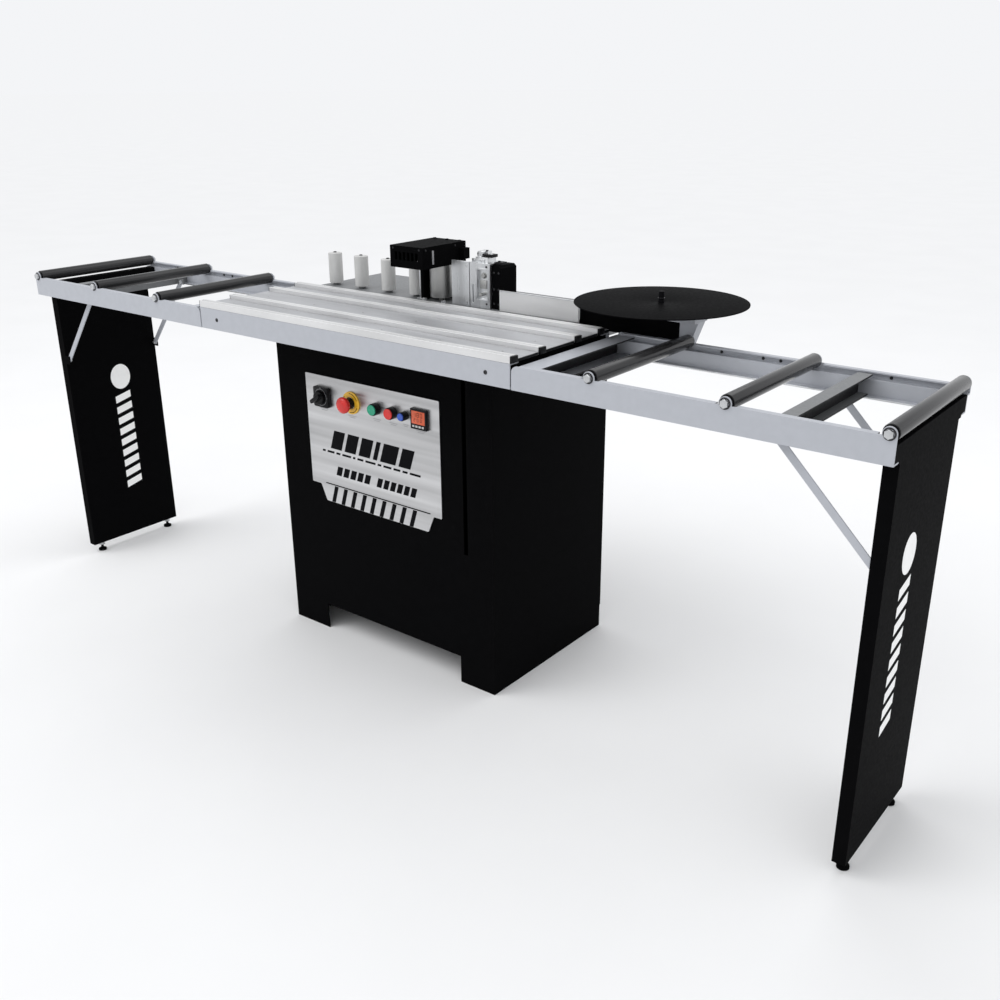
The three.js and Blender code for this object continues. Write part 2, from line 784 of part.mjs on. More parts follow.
function coilArm() {
  const [y0, y1, z0, z1] = [388, 438, 846, 892];
  const section = outline([
    [y0, z0],
    [y1, z0],
    [y1, z1],
    [y0, z1],
  ]);
  const wall = 3;
  section.holes.push(
    new THREE.Path([
      new THREE.Vector2(y0 + wall, z0 + wall),
      new THREE.Vector2(y0 + wall, z1 - wall),
      new THREE.Vector2(y1 - wall, z1 - wall),
      new THREE.Vector2(y1 - wall, z0 + wall),
    ]),
  );
  return sectionAlongX(section, HEAD.right + GAP, 620);
}

// The bracket on the end of the arm: a deck with a tapered end, and the spindle for the disc.
function coilBracket() {
  const deck = { left: 510, right: 668, bottom: 892 + GAP, top: 902 };
  const end = 620 + GAP;
  const taper = outline([
    [end, deck.top],
    [end, 852],
    [632, 838],
    [644, 838],
    [deck.right, deck.top],
  ]);
  return join(
    box(deck.left, deck.right, 366, 420, deck.bottom, deck.top),
    plateXZ(taper, 390, 420),
    rodZ(18, COIL.x, COIL.y, deck.top - 1, COIL.z - 14),
    rodZ(COIL.spindle, COIL.x, COIL.y, deck.top, COIL.z + 24),
  );
}

// The disc that a coil of tape lies on, with its hub underneath.
function coilDisc() {
  const bore = COIL.spindle + 0.4;
  return turned(
    [
      [bore, -13],
      [26, -13],
      [30, 0],
      [COIL.radius, 0],
      [COIL.radius, 2],
      [bore, 2],
      [bore, -13],
    ],
    72,
  );
}

function standing(name, geometry, material, x, y, z) {
  const mesh = named(name, geometry, material);
  mesh.rotation.x = Math.PI / 2;
  mesh.position.set(x, y, z);
  return mesh;
}

function bandingHead() {
  const group = new THREE.Group();
  group.add(named("head_base_plate", headBasePlate(), darkPaint));
  pressureX().forEach((x, i) => {
    const name = `pressure_roller_${i + 1}`;
    group.add(standing(name, pressureRoller(), whiteRubber, x, PRESS.y, ROLLER_FLOOR));
  });
  group.add(standing("feed_roller", feedRoller(), brushedSteel, FEED.x, FEED.y, ROLLER_FLOOR));
  group.add(named("feed_gearmotor", feedGearmotor(), darkPaint));
  group.add(named("head_hood", hood(), blackPaint));
  group.add(named("glue_tank", glueTank(), aluminium));
  group.add(named("cutter_block", cutterBlock(), aluminium));
  const blade = box(
    BLADE.x,
    BLADE.x + BLADE.thickness,
    BLADE.front,
    BLADE.rear,
    BLADE.bottom,
    BLADE.top,
  );
  group.add(named("cutter_blade", blade, brushedSteel));
  group.add(named("cutter_solenoid", cutterSolenoid(), darkPaint));
  group.add(named("tape_fence", tapeFence(), greyPaint));
  group.add(named("coil_arm", coilArm(), blackPaint));
  group.add(named("coil_bracket", coilBracket(), greyPaint));
  group.add(standing("coil_disc", coilDisc(), blackPaint, COIL.x, COIL.y, COIL.z));
  return group;
}

// ---- Assembly ----
function machine() {
  const layout = new THREE.Group();
  layout.add(named("cabinet_shell", cabinetShell(), blackPaint));
  layout.add(named("cabinet_rear_panel", cabinetRearPanel(), blackPaint));
  layout.add(named("electrical_panel", electricalPanel(), greyPaint));
  layout.add(controls(), table(), bandingHead());
  layout.add(extension("right", 1), extension("left", -1));
  layout.add(legSet("right", LEG_OUTER_X[0], BRACE_FOOT_X[0], []));
  layout.add(legSet("left", LEG_OUTER_X[1], BRACE_FOOT_X[1], braceTabs()));
  layout.position.y = -BOX_CENTRE_Y;
  return new THREE.Group().add(layout);
}

export default machine();
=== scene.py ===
import json
import math

import bmesh
import bpy
from mathutils import Matrix, Vector


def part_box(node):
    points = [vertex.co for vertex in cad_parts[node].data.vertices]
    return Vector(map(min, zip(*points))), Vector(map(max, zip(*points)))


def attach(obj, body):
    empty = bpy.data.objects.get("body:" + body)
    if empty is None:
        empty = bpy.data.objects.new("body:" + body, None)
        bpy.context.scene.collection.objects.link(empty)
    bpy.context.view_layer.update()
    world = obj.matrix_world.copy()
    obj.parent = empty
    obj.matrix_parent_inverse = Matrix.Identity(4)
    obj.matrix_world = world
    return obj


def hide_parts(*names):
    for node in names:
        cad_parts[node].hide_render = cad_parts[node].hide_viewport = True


MM = 0.001
LARGE_FACE = 4e-4  # square metres; larger faces are shaded flat, so that edge rounding can't tint them
PRINT_DEPTH = 0.15
FINE_PRINT_DEPTH = 0.12
BOLT_HEAD = 6  # how far the heads of the axle bolts stand out of a rail
RIB_WIDTH = 20
RIB_HEIGHT = 9
SIDES = ("left", "right")
TABLE_PROFILES = [f"table_profile_{i}" for i in range(1, 5)]
PUSH_BUTTONS = ("start_button", "stop_button", "reset_button")
X_AXIS = Vector((1, 0, 0))
Y_AXIS = Vector((0, 1, 0))
Z_AXIS = Vector((0, 0, 1))
TO_FRONT = -Y_AXIS


def linked(name, data):
    """A new object in the scene."""
    new_object = bpy.data.objects.new(name, data)
    bpy.context.scene.collection.objects.link(new_object)
    return new_object


# ---- Camera ----
def make_camera(place, azimuth, elevation, roll, lens):
    """A camera that looks along the given angles, in degrees."""
    data = bpy.data.cameras.new("camera")
    data.lens = lens
    data.clip_end = 400
    camera = linked("camera", data)
    a, e, r = (math.radians(angle) for angle in (azimuth, elevation, roll))
    back = Vector((math.sin(a) * math.cos(e), -math.cos(a) * math.cos(e), math.sin(e)))
    right = Vector((math.cos(a), math.sin(a), 0))
    up = back.cross(right)
    rolled_right = right * math.cos(r) + up * math.sin(r)
    rolled_up = up * math.cos(r) - right * math.sin(r)
    turn = Matrix((rolled_right, rolled_up, back)).transposed().to_4x4()
    camera.matrix_world = Matrix.Translation(place) @ turn
    bpy.context.scene.camera = camera


make_camera((1.7008, -1.8793, 1.3587), azimuth=38.3, elevation=21.3, roll=-0.4, lens=38.69)
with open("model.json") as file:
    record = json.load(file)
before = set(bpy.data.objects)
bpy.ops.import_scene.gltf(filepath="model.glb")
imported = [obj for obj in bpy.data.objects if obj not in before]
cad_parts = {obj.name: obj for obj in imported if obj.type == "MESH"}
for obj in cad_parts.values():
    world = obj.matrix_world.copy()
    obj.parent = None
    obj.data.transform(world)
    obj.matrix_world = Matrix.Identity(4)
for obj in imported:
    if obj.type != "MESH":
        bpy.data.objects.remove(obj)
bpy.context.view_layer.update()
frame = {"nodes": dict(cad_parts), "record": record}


# ---- Material helpers ----
class Finish:
    """A material whose colour, roughness and relief come from noise in object space."""

    def __init__(self, name, metallic=0.0):
        self.material = bpy.data.materials.new(name)
        self.material.use_nodes = True
        self.nodes = self.material.node_tree.nodes
        self.links = self.material.node_tree.links
        self.shader = self.nodes["Principled BSDF"]
        self.shader.inputs["Metallic"].default_value = metallic
        self.coords = self.nodes.new("ShaderNodeTexCoord").outputs["Object"]
        self.relief = None

    def noise(self, scale, stretch=(1, 1, 1), detail=3.0):
        """Noise with the given scale per metre, stretched along the axes with the smaller numbers."""
        mapping = self.nodes.new("ShaderNodeMapping")
        mapping.inputs["Scale"].default_value = stretch
        texture = self.nodes.new("ShaderNodeTexNoise")
        texture.inputs["Scale"].default_value = scale
        texture.inputs["Detail"].default_value = detail
        self.links.new(self.coords, mapping.inputs["Vector"])
        self.links.new(mapping.outputs["Vector"], texture.inputs["Vector"])
        return texture.outputs["Fac"]

    def colour(self, factor, dark, light):
        """Blends two colours over the middle third of the noise."""
        ramp = self.nodes.new("ShaderNodeValToRGB")
        for stop, position, colour in zip(ramp.color_ramp.elements, (0.35, 0.65), (dark, light)):
            stop.position = position
            stop.color = (*colour, 1)
        self.links.new(factor, ramp.inputs["Fac"])
        self.links.new(ramp.outputs["Color"], self.shader.inputs["Base Color"])

    def roughness(self, factor, smooth, rough):
        """Spreads the roughness between two values, by the noise."""
        spread = self.nodes.new("ShaderNodeMapRange")
        spread.inputs["From Min"].default_value = 0.3
        spread.inputs["From Max"].default_value = 0.7
        spread.inputs["To Min"].default_value = smooth
        spread.inputs["To Max"].default_value = rough
        self.links.new(factor, spread.inputs["Value"])
        self.links.new(spread.outputs["Result"], self.shader.inputs["Roughness"])

    def bump(self, factor, depth_mm, strength):
        """Adds relief on top of the relief there already is."""
        node = self.nodes.new("ShaderNodeBump")
        node.inputs["Distance"].default_value = depth_mm * MM
        node.inputs["Strength"].default_value = strength
        self.links.new(factor, node.inputs["Height"])
        if self.relief:
            self.links.new(self.relief, node.inputs["Normal"])
        self.relief = node.outputs["Normal"]
        self.links.new(self.relief, self.shader.inputs["Normal"])

    def specular(self, level):
        self.shader.inputs["Specular IOR Level"].default_value = level


def scaled(colour, amount):
    """A lighter or darker shade of a colour."""
    return tuple(min(1.0, part * amount) for part in colour)


def powder_coat(name, colour, smooth, rough, specular=0.5, mottle=0.07, peel=0.05):
    """Sheet metal with a baked coat: orange peel, a fine speckle and slightly uneven gloss."""
    finish = Finish(name)
    finish.colour(finish.noise(55, detail=5), scaled(colour, 1 - mottle), scaled(colour, 1 + mottle))
    finish.roughness(finish.noise(160), smooth, rough)
    finish.bump(finish.noise(420, detail=1.5), peel, 0.4)
    finish.bump(finish.noise(1700), 0.012, 0.5)
    finish.specular(specular)
    return finish.material


def brushed_metal(name, colour, smooth, rough, grain, contrast=0.14, depth=0.02):
    """Metal with brush lines that run along the axes where grain is small."""
    finish = Finish(name, metallic=1.0)
    lines = finish.noise(240, grain, detail=4)
    bands = finish.noise(30, grain, detail=8)
    finish.colour(bands, scaled(colour, 1 - contrast), scaled(colour, 1 + contrast))
    finish.roughness(lines, smooth, rough)
    finish.bump(lines, depth, 0.6)
    return finish.material


def blackened_tube(name, colour):
    """Steel tube with a thin dark oxide and draw lines along Y."""
    finish = Finish(name, metallic=0.1)
    draw = finish.noise(200, (1, 0.03, 1), detail=4)
    finish.colour(draw, scaled(colour, 0.8), scaled(colour, 1.25))
    finish.roughness(draw, 0.14, 0.24)
    finish.bump(draw, 0.01, 0.6)
    finish.specular(0.28)
    return finish.material


def aluminium_extrusion(name, colour):
    """Satin extruded metal: long draw lines along X and a pale worn bloom."""
    finish = Finish(name, metallic=0.55)
    draw = finish.noise(260, (0.012, 1, 1), detail=3)
    bloom = finish.noise(14, (0.25, 1, 1), detail=4)
    finish.colour(bloom, scaled(colour, 0.9), scaled(colour, 1.07))
    finish.roughness(draw, 0.34, 0.52)
    finish.bump(draw, 0.03, 0.6)
    return finish.material


def moulded_plastic(name, colour, smooth, rough, grain_depth=0.02, specular=0.5):
    """Injection-moulded plastic with a fine grain."""
    finish = Finish(name)
    cloud = finish.noise(60)
    finish.colour(cloud, scaled(colour, 0.86), scaled(colour, 1.1))
    finish.roughness(cloud, smooth, rough)
    finish.bump(finish.noise(2600), grain_depth, 0.5)
    finish.shader.inputs["IOR"].default_value = 1.49
    finish.specular(specular)
    return finish.material


def rubber(name, colour):
    """Ground rubber: matt, with faint rings of dust."""
    finish = Finish(name)
    dust = finish.noise(70, (1, 1, 0.25), detail=5)
    finish.colour(dust, scaled(colour, 0.9), scaled(colour, 1.05))
    finish.roughness(dust, 0.55, 0.75)
    finish.bump(finish.noise(900, (1, 1, 0.3)), 0.03, 0.6)
    return finish.material


def studio_floor(name, colour):
    """A matt pale floor without a sheen."""
    finish = Finish(name)
    cloud = finish.noise(2.5)
    finish.colour(cloud, scaled(colour, 0.985), scaled(colour, 1.0))
    finish.roughness(cloud, 0.75, 0.85)
    finish.specular(0.0)
    return finish.material


SLOT_MATERIALS = {
    "black_powder_coat": powder_coat(
        "black_powder_coat", (0.0028, 0.0028, 0.0031), 0.5, 0.6, specular=0.008, peel=0.02
    ),
    "grey_powder_coat": powder_coat("grey_powder_coat", (0.42, 0.435, 0.47), 0.42, 0.5, 0.35, 0.02, 0.015),
    "dark_paint": powder_coat("dark_paint", (0.17, 0.175, 0.18), 0.42, 0.52, 0.3, 0.03, 0.02),
    "table_aluminium": aluminium_extrusion("table_aluminium", (0.68, 0.68, 0.68)),
    "machined_aluminium": brushed_metal("machined_aluminium", (0.62, 0.63, 0.64), 0.25, 0.42, (1, 1, 0.05)),
    "brushed_plate": brushed_metal("brushed_plate", (0.52, 0.52, 0.525), 0.28, 0.5, (0.03, 1, 1), 0.22, 0.06),
    "feed_steel": brushed_metal("feed_steel", (0.4, 0.4, 0.39), 0.34, 0.37, (1, 1, 0.08), 0.04, 0.0005),
    "roller_steel": blackened_tube("roller_steel", (0.03, 0.03, 0.031)),
    "blade_steel": brushed_metal("blade_steel", (0.55, 0.56, 0.58), 0.15, 0.3, (1, 1, 0.06)),
    "roller_cover": rubber("roller_cover", (0.56, 0.56, 0.55)),
    "black_plastic": moulded_plastic("black_plastic", (0.005, 0.005, 0.006), 0.28, 0.42, specular=0.14),
    "red_plastic": moulded_plastic("red_plastic", (0.62, 0.018, 0.014), 0.18, 0.3, 0.008),
    "yellow_plastic": moulded_plastic("yellow_plastic", (0.78, 0.45, 0.03), 0.25, 0.38, 0.01),
    "green_plastic": moulded_plastic("green_plastic", (0.01, 0.3, 0.17), 0.18, 0.3, 0.008),
    "blue_plastic": moulded_plastic("blue_plastic", (0.02, 0.08, 0.45), 0.18, 0.3, 0.008),
}
ZINC = brushed_metal("zinc_plate", (0.56, 0.57, 0.58), 0.24, 0.4, (1, 1, 1), 0.1)
DARK_BOLT = powder_coat("dark_bolt", (0.02, 0.02, 0.022), 0.3, 0.5, 0.3)
# Near-black painted shade, for the faces of the cross members that look into the open channel and down.
PAINTED_CHANNEL_SHADE = powder_coat("painted_channel_shade", (0.022, 0.022, 0.024), 0.45, 0.6, 0.15)
TABLE_FLAT = aluminium_extrusion("table_flat", (0.43, 0.435, 0.45))
WHITE_PRINT = powder_coat("white_print", (0.95, 0.95, 0.94), 0.4, 0.55, 0.5, 0.02)
BLACK_PRINT = powder_coat("black_print", (0.004, 0.004, 0.005), 0.45, 0.6, 0.03)
GREY_PRINT = powder_coat("grey_print", (0.28, 0.28, 0.29), 0.45, 0.6)
DISPLAY = moulded_plastic("display_window", (0.62, 0.10, 0.035), 0.16, 0.26, 0.004)
PALE_KEYS = moulded_plastic("pale_keys", (0.5, 0.5, 0.49), 0.4, 0.5)


# ---- Shape helpers ----
def ring_section(inner, outer, height):
    """The closed section of a flat ring, to be turned."""
    return [(inner, 0), (outer, 0), (outer, height), (inner, height), (inner, 0)]


def rod_section(radius, height):
    """The section of a solid round, to be turned."""
    return [(0, 0), (radius, 0), (radius, height), (0, height)]


def rectangle(left, bottom, right, top):
    """The corners of an upright rectangle."""
    return [(left, bottom), (right, bottom), (right, top), (left, top)]


def span(node):
    """The lowest and highest corners of a CAD node, in millimetres."""
    low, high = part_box(node)
    return low / MM, high / MM


def extent(node):
    """The lowest corner, the highest corner and the middle of a CAD node, in millimetres."""
    low, high = span(node)
    return low, high, (low + high) / 2


def filleted(points, radius, steps=3):
    """The same open path with its inner corners rounded off."""
    path = [Vector(points[0])]
    for before, corner, after in zip(points, points[1:], points[2:]):
        middle = Vector(corner)
        to_before = Vector(before) - middle
        to_after = Vector(after) - middle
        reach = min(radius, to_before.length / 2.2, to_after.length / 2.2)
        start = middle + to_before.normalized() * reach
        end = middle + to_after.normalized() * reach
        for i in range(steps + 1):
            t = i / steps
            path.append(start.lerp(middle, t).lerp(middle.lerp(end, t), t))
    path.append(Vector(points[-1]))
    return path


def round_edges(solid, edges, width, clamp_overlap=False):
    bmesh.ops.bevel(
        solid,
        geom=edges,
        offset=width,
        segments=2,
        profile=0.5,
        affect="EDGES",
        clamp_overlap=clamp_overlap,
    )


def rounded_outline(corners, radius):
    """A closed outline with every corner rounded off."""
    around = [corners[-1], *corners, corners[0]]
    return [tuple(point) for point in filleted(around, radius)[1:-1]]


class Shape:
    """Collects closed solids in one mesh, in millimetres of the row frame."""

    def __init__(self):
        self.mesh = bmesh.new()

    def take(self, solid, matrix):
        """Moves a solid into place and adds it to the mesh."""
        solid.transform(matrix)
        bmesh.ops.recalc_face_normals(solid, faces=solid.faces)
        part = bpy.data.meshes.new("part")
        solid.to_mesh(part)
        solid.free()
        self.mesh.from_mesh(part)
        bpy.data.meshes.remove(part)
        return self

    def block(self, low, high, edge=0.4):
        """A box between two opposite corners, with every edge rounded."""
        low, high = (Vector(ends) for ends in zip(*map(sorted, zip(low, high))))
        solid = bmesh.new()
        bmesh.ops.create_cube(solid, size=1)
        solid.transform(Matrix.Diagonal((*(high - low), 1)))
        round_edges(solid, solid.edges[:], min(edge, min(high - low) * 0.3))
        return self.take(solid, Matrix.Translation((low + high) / 2))

    def turned(self, profile, place, axis=Z_AXIS, segments=48, round_off=0.6):
        """A lathe-turned solid: the profile gives radius and distance along the axis."""
        solid = bmesh.new()
        path = filleted(profile, round_off) if round_off else [Vector(p) for p in profile]
        verts = [solid.verts.new((point.x, 0, point.y)) for point in path]
        edges = [solid.edges.new(pair) for pair in zip(verts, verts[1:])]
        bmesh.ops.spin(
            solid,
            geom=verts + edges,
            cent=(0, 0, 0),
            axis=Z_AXIS,
            dvec=(0, 0, 0),
            angle=2 * math.pi,
            steps=segments,
            use_merge=True,
        )
        bmesh.ops.remove_doubles(solid, verts=solid.verts, dist=1e-4)
        turn = Vector(axis).to_track_quat("Z", "Y").to_matrix().to_4x4()
        return self.take(solid, Matrix.Translation(place) @ turn)

    def plate(self, points, place, across, up, depth, edge=0.0):
        """An outline in the across-up plane, raised by depth along the plane's normal."""
        solid = bmesh.new()
        face = solid.faces.new([solid.verts.new((x, y, 0)) for x, y in points])
        raised = bmesh.ops.extrude_face_region(solid, geom=[face])
        moved = [item for item in raised["geom"] if isinstance(item, bmesh.types.BMVert)]
        bmesh.ops.translate(solid, verts=moved, vec=(0, 0, depth))
        if edge:
            round_edges(solid, solid.edges[:], edge)
        across, up = Vector(across), Vector(up)
        turn = Matrix((across, up, across.cross(up))).transposed().to_4x4()
        return self.take(solid, Matrix.Translation(place) @ turn)

    def hex_bolt(self, place, axis, across_flats, height):
        """A hexagon head with a chamfered top, on a washer."""
        radius = across_flats / math.sqrt(3)
        base = 1
        chamfer = 0.8
        self.turned(rod_section(radius * 1.25, base), place, axis, 32, 0.25)
        head = [(0, base), (radius, base), (radius, height - chamfer), (radius * 0.85, height), (0, height)]
        return self.turned(head, place, axis, 6, 0)

    def dome_screw(self, place, axis, radius, height):
        """A round head with a socket."""
        socket = radius * 0.45
        socket_floor = height * 0.35
        head = [
            (0, socket_floor),
            (socket, socket_floor),
            (socket, height),
            (radius * 0.7, height * 0.9),
            (radius, height * 0.4),
            (radius, 0),
            (0, 0),
        ]
        return self.turned(head, place, axis, 24, 0.15)

    def to_piece(self, name, material, body="frame", slot=None, replaces=()):
        """Ends the shape: links it as a piece, in metres."""
        self.mesh.transform(Matrix.Scale(MM, 4))
        data = bpy.data.meshes.new(name)
        self.mesh.to_mesh(data)
        self.mesh.free()
        return placed(data, name, material, body, replaces)

    def to_slot_piece(self, name, slot, body="frame", replaces=()):
        """The same in a material of the record."""
        return self.to_piece(name, SLOT_MATERIALS[slot], body, slot, replaces)


def placed(data, name, material, body, replaces):
    """Links a mesh as a piece that rides on a body."""
    data.materials.clear()
    data.materials.append(material)
    data.shade_smooth()
    data.set_sharp_from_angle(angle=math.radians(32))
    piece = linked(name, data)
    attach(piece, body)
    if replaces:
        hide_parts(*replaces)
    return piece


def dressed(name, node, profile, place, axis=Z_AXIS, segments=96, round_off=0.8):
    """A finely turned piece that stands for a round CAD node."""
    shape = Shape().turned(profile, place, axis, segments, round_off)
    return shape.to_slot_piece(name, SLOT_OF[node], BODY_OF[node], [node])


def refined(node, edge=0.5):
    """A copy of a CAD node with flat faces joined and its sharp edges rounded."""
    solid = bmesh.new()
    solid.from_mesh(frame["nodes"][node].data)
    bmesh.ops.remove_doubles(solid, verts=solid.verts, dist=1e-5)
    bmesh.ops.dissolve_limit(
        solid, angle_limit=math.radians(0.5), verts=solid.verts[:], edges=solid.edges[:]
    )
    sharp = math.radians(40)
    corners = [e for e in solid.edges if len(e.link_faces) == 2 and e.calc_face_angle(0) > sharp]
    round_edges(solid, corners, edge * MM, clamp_overlap=True)
    data = bpy.data.meshes.new(node + "_fine")
    solid.to_mesh(data)
    solid.free()
    slot = SLOT_OF[node]
    piece = placed(data, node + "_fine", SLOT_MATERIALS[slot], BODY_OF[node], [node])
    for face in data.polygons:
        face.use_smooth = face.area < LARGE_FACE
    return piece


def paint_faces(piece, material, chosen):
    """Gives a second material to the faces for which chosen(middle in mm, normal) holds."""
    piece.data.materials.append(material)
    for face in piece.data.polygons:
        if chosen(face.center / MM, face.normal):
            face.material_index = 1


def slanted_bars(shape, place, widths, height, gap, slant):
    """A row of plain slanted bars on a front face, as a neutral stand-in for a printed line."""
    x = 0
    for width in widths:
        bar = [(x, 0), (x + width, 0), (x + width + slant, height), (x + slant, height)]
        shape.plate(bar, place, X_AXIS, Z_AXIS, PRINT_DEPTH)
        x += width + gap


record = frame["record"]
SLOT_OF = {part["node"]: part["material_slot"] for part in record["subparts"]}
BODY_OF = {n: body for body, nodes in record["behaviour"]["bodies"].items() for n in nodes}


# ---- Round CAD nodes, turned finely ----
def support_rollers():
    """Each roller as a tube with a plastic bush in both ends."""
    wall = 2.2
    end_gap = 0.4
    lip = 4
    for node in (f"{side}_support_roller_{i}" for side in SIDES for i in (1, 2, 3)):
        low, high, middle = extent(node)
        radius = (high.z - low.z) / 2
        length = high.y - low.y
        tube = [
            (radius - wall, lip),
            (radius - wall, end_gap),
            (radius, end_gap),
            (radius, length - end_gap),
            (radius - wall, length - end_gap),
            (radius - wall, length - lip),
        ]
        dressed(node + "_tube", node, tube, (middle.x, low.y, middle.z), Y_AXIS)
        bushes = Shape()
        for start, direction in ((low.y, 1), (high.y, -1)):
            roller_bush(bushes, (middle.x, start, middle.z), Y_AXIS * direction, radius - 2.4)
        bushes.to_slot_piece(node + "_bushes", "black_plastic", BODY_OF[node])


def roller_bush(shape, place, axis, plug):
    """A plug of the given radius, with a raised collar around its axle hole."""
    bore = 5.6
    collar = 7.6
    recess = 1.2
    depth = 9
    section = [(bore, depth), (bore, 0), (collar, 0), (collar, recess)]
    section += [(plug, recess), (plug, depth), (bore, depth)]
    shape.turned(section, place, axis, 48, 0.4)


def pressure_rollers():
    """Each roller as a cover with a sunk hub, a washer under it and a screw on top."""
    bore = 8
    core = 12
    rim_drop = 3.2
    hub_drop = 2.4
    for node in (f"pressure_roller_{i}" for i in range(1, 5)):
        low, high, middle = extent(node)
        radius = (high.x - low.x) / 2
        height = high.z - low.z
        rim = height - rim_drop
        cover = [(bore, 3), (bore, 0), (radius, 0), (radius, rim), (core, rim), (core, height - 4)]
        place = (middle.x, middle.y, low.z)
        dressed(node + "_cover", node, cover, place, round_off=1.6)
        hub_low, hub_high = height - 6, height - hub_drop
        hub = [(0, hub_low), (core + 0.3, hub_low), (core + 0.3, hub_high), (6, hub_high), (0, hub_high)]
        Shape().turned(hub, place).to_slot_piece(node + "_hub", "roller_cover", node)
        foot = [(6.7, 2.5), (6.7, -0.2), (11, -0.2), (11, 2.5), (6.7, 2.5)]
        washer = Shape().turned(foot, place, segments=40, round_off=0.3)
        washer.to_piece(node + "_washer", DARK_BOLT, node)
        screw = Shape().dome_screw((middle.x, middle.y, high.z - hub_drop), Z_AXIS, 4.5, 2.4)
        screw.to_piece(node + "_screw", DARK_BOLT, node)


def feed_roller():
    """The drum on its shaft, with a screw sunk in its top."""
    node = "feed_roller"
    low, high, middle = extent(node)
    radius = (high.x - low.x) / 2
    height = high.z - low.z
    shaft, seat, collar = 8, 9, 14
    collar_start = height - 92
    drum_start = collar_start + 3
    drum = [(0, 0), (shaft, 0), (shaft, collar_start), (collar, collar_start), (collar, drum_start)]
    drum += [(radius, drum_start), (radius, height - 1.5), (radius - 6, height)]
    drum += [(seat, height), (seat, height - 2), (0, height - 2)]
    place = (middle.x, middle.y, low.z)
    dressed("feed_roller_drum", node, drum, place, segments=128, round_off=0.3)
    cap = Shape().hex_bolt((middle.x, middle.y, high.z - 5.6), Z_AXIS, 13, 5.4)
    cap.to_piece("feed_roller_screw", ZINC, node)


def coil_disc():
    """A thin disc that thickens to a hub around the spindle."""
    node = "coil_disc"
    low, high, middle = extent(node)
    radius = (high.x - low.x) / 2
    top = high.z - low.z
    underside = top - 2
    bore, hub, hub_foot = 6.6, 26, 30
    section = [(bore, 0), (hub, 0), (hub_foot, underside), (radius, underside)]
    section += [(radius, top), (bore, top), (bore, 0)]
    dressed("coil_disc_plate", node, section, (middle.x, middle.y, low.z), segments=160, round_off=0.5)


def levelling_feet():
    """Each foot as a pad with a threaded stem, and the nut that locks it."""
    thread_radius = 4
    thread_depth = 0.5
    thread_pitch = 1.5
    thread_start = 10.5
    for node in (f"{side}_{end}_foot" for side in SIDES for end in ("front", "rear")):
        low, high, middle = extent(node)
        top = high.z - low.z
        section = [(0, 0), (12, 0), (12, 5.2), (5, 8.6), (4.6, 10), (thread_radius, 10)]
        z = thread_start
        while z < top - 2:
            section += [(thread_radius, z), (thread_radius - thread_depth, z + thread_pitch / 2)]
            z += thread_pitch
        section += [(3.6, top - 0.8), (2.8, top), (0, top)]
        place = (middle.x, middle.y, low.z)
        dressed(node + "_turned", node, section, place, segments=40, round_off=0.25)
        nut = Shape().hex_bolt((middle.x, middle.y, low.z + 19), Z_AXIS, 13, 6)
        nut.to_piece(node + "_nut", ZINC, node)


def emergency_stop():
    """A mushroom head on a black stem."""
    node = "estop_button"
    low, high, middle = extent(node)
    length = high.y - low.y
    place = (middle.x, high.y, middle.z)
    head_depth = 16
    stem = rod_section(13.6, length - head_depth + 0.2)
    neck = Shape().turned(stem, place, TO_FRONT, 64, 0.8)
    neck.to_slot_piece("estop_button_stem", "black_plastic", node)
    # radius, and depth behind the tip
    dome = ((14, 16), (17, 15.5), (19.6, 12), (20, 8), (19, 4.6), (14, 1.6), (7, 0.2))
    head = [(0, length - head_depth)]
    head += [(radius, length - depth) for radius, depth in dome]
    head.append((0, length))
    dressed("estop_button_head", node, head, place, TO_FRONT, round_off=1.2)


def emergency_stop_collar():
    """The yellow ring around the button, with three printed arcs."""
    low, high, middle = extent("estop_collar")
    inner = 14.6
    outer = (high.x - low.x) / 2
    thick = high.y - low.y
    ring = [(inner, 0), (outer, 0), (outer, thick - 1.4), (outer - 2, thick), (inner, thick), (inner, 0)]
    dressed("estop_collar_ring", "estop_collar", ring, (middle.x, high.y, middle.z), TO_FRONT, round_off=0.7)
    arcs = 3
    first_arc = 0.4
    marks = Shape()
    for i in range(arcs):
        outline = arc_outline(22.6, 24.2, 2 * math.pi * i / arcs + first_arc, 1.3)
        marks.plate(outline, (middle.x, low.y, middle.z), X_AXIS, Z_AXIS, FINE_PRINT_DEPTH)
    marks.to_piece("estop_collar_marks", BLACK_PRINT)


def arc_outline(inner, outer, start, sweep, steps=14):
    """The outline of a part of a ring, with its angles in radians."""
    angles = [start + j / steps * sweep for j in range(steps + 1)]
    outside = [(outer * math.cos(a), outer * math.sin(a)) for a in angles]
    inside = [(inner * math.cos(a), inner * math.sin(a)) for a in reversed(angles)]
    return outside + inside


def push_buttons():
    """Each button as a cap with a raised rim and a shallow dish."""
    for node in PUSH_BUTTONS:
        low, high, middle = extent(node)
        radius = (high.x - low.x) / 2
        length = high.y - low.y
        cap = [(0, 0), (radius, 0), (radius, length - 0.6), (radius - 1.4, length)]
        cap += [(radius - 2.4, length - 0.5), (0, length - 0.9)]
        dressed(node + "_cap", node, cap, (middle.x, high.y, middle.z), TO_FRONT, round_off=0.5)


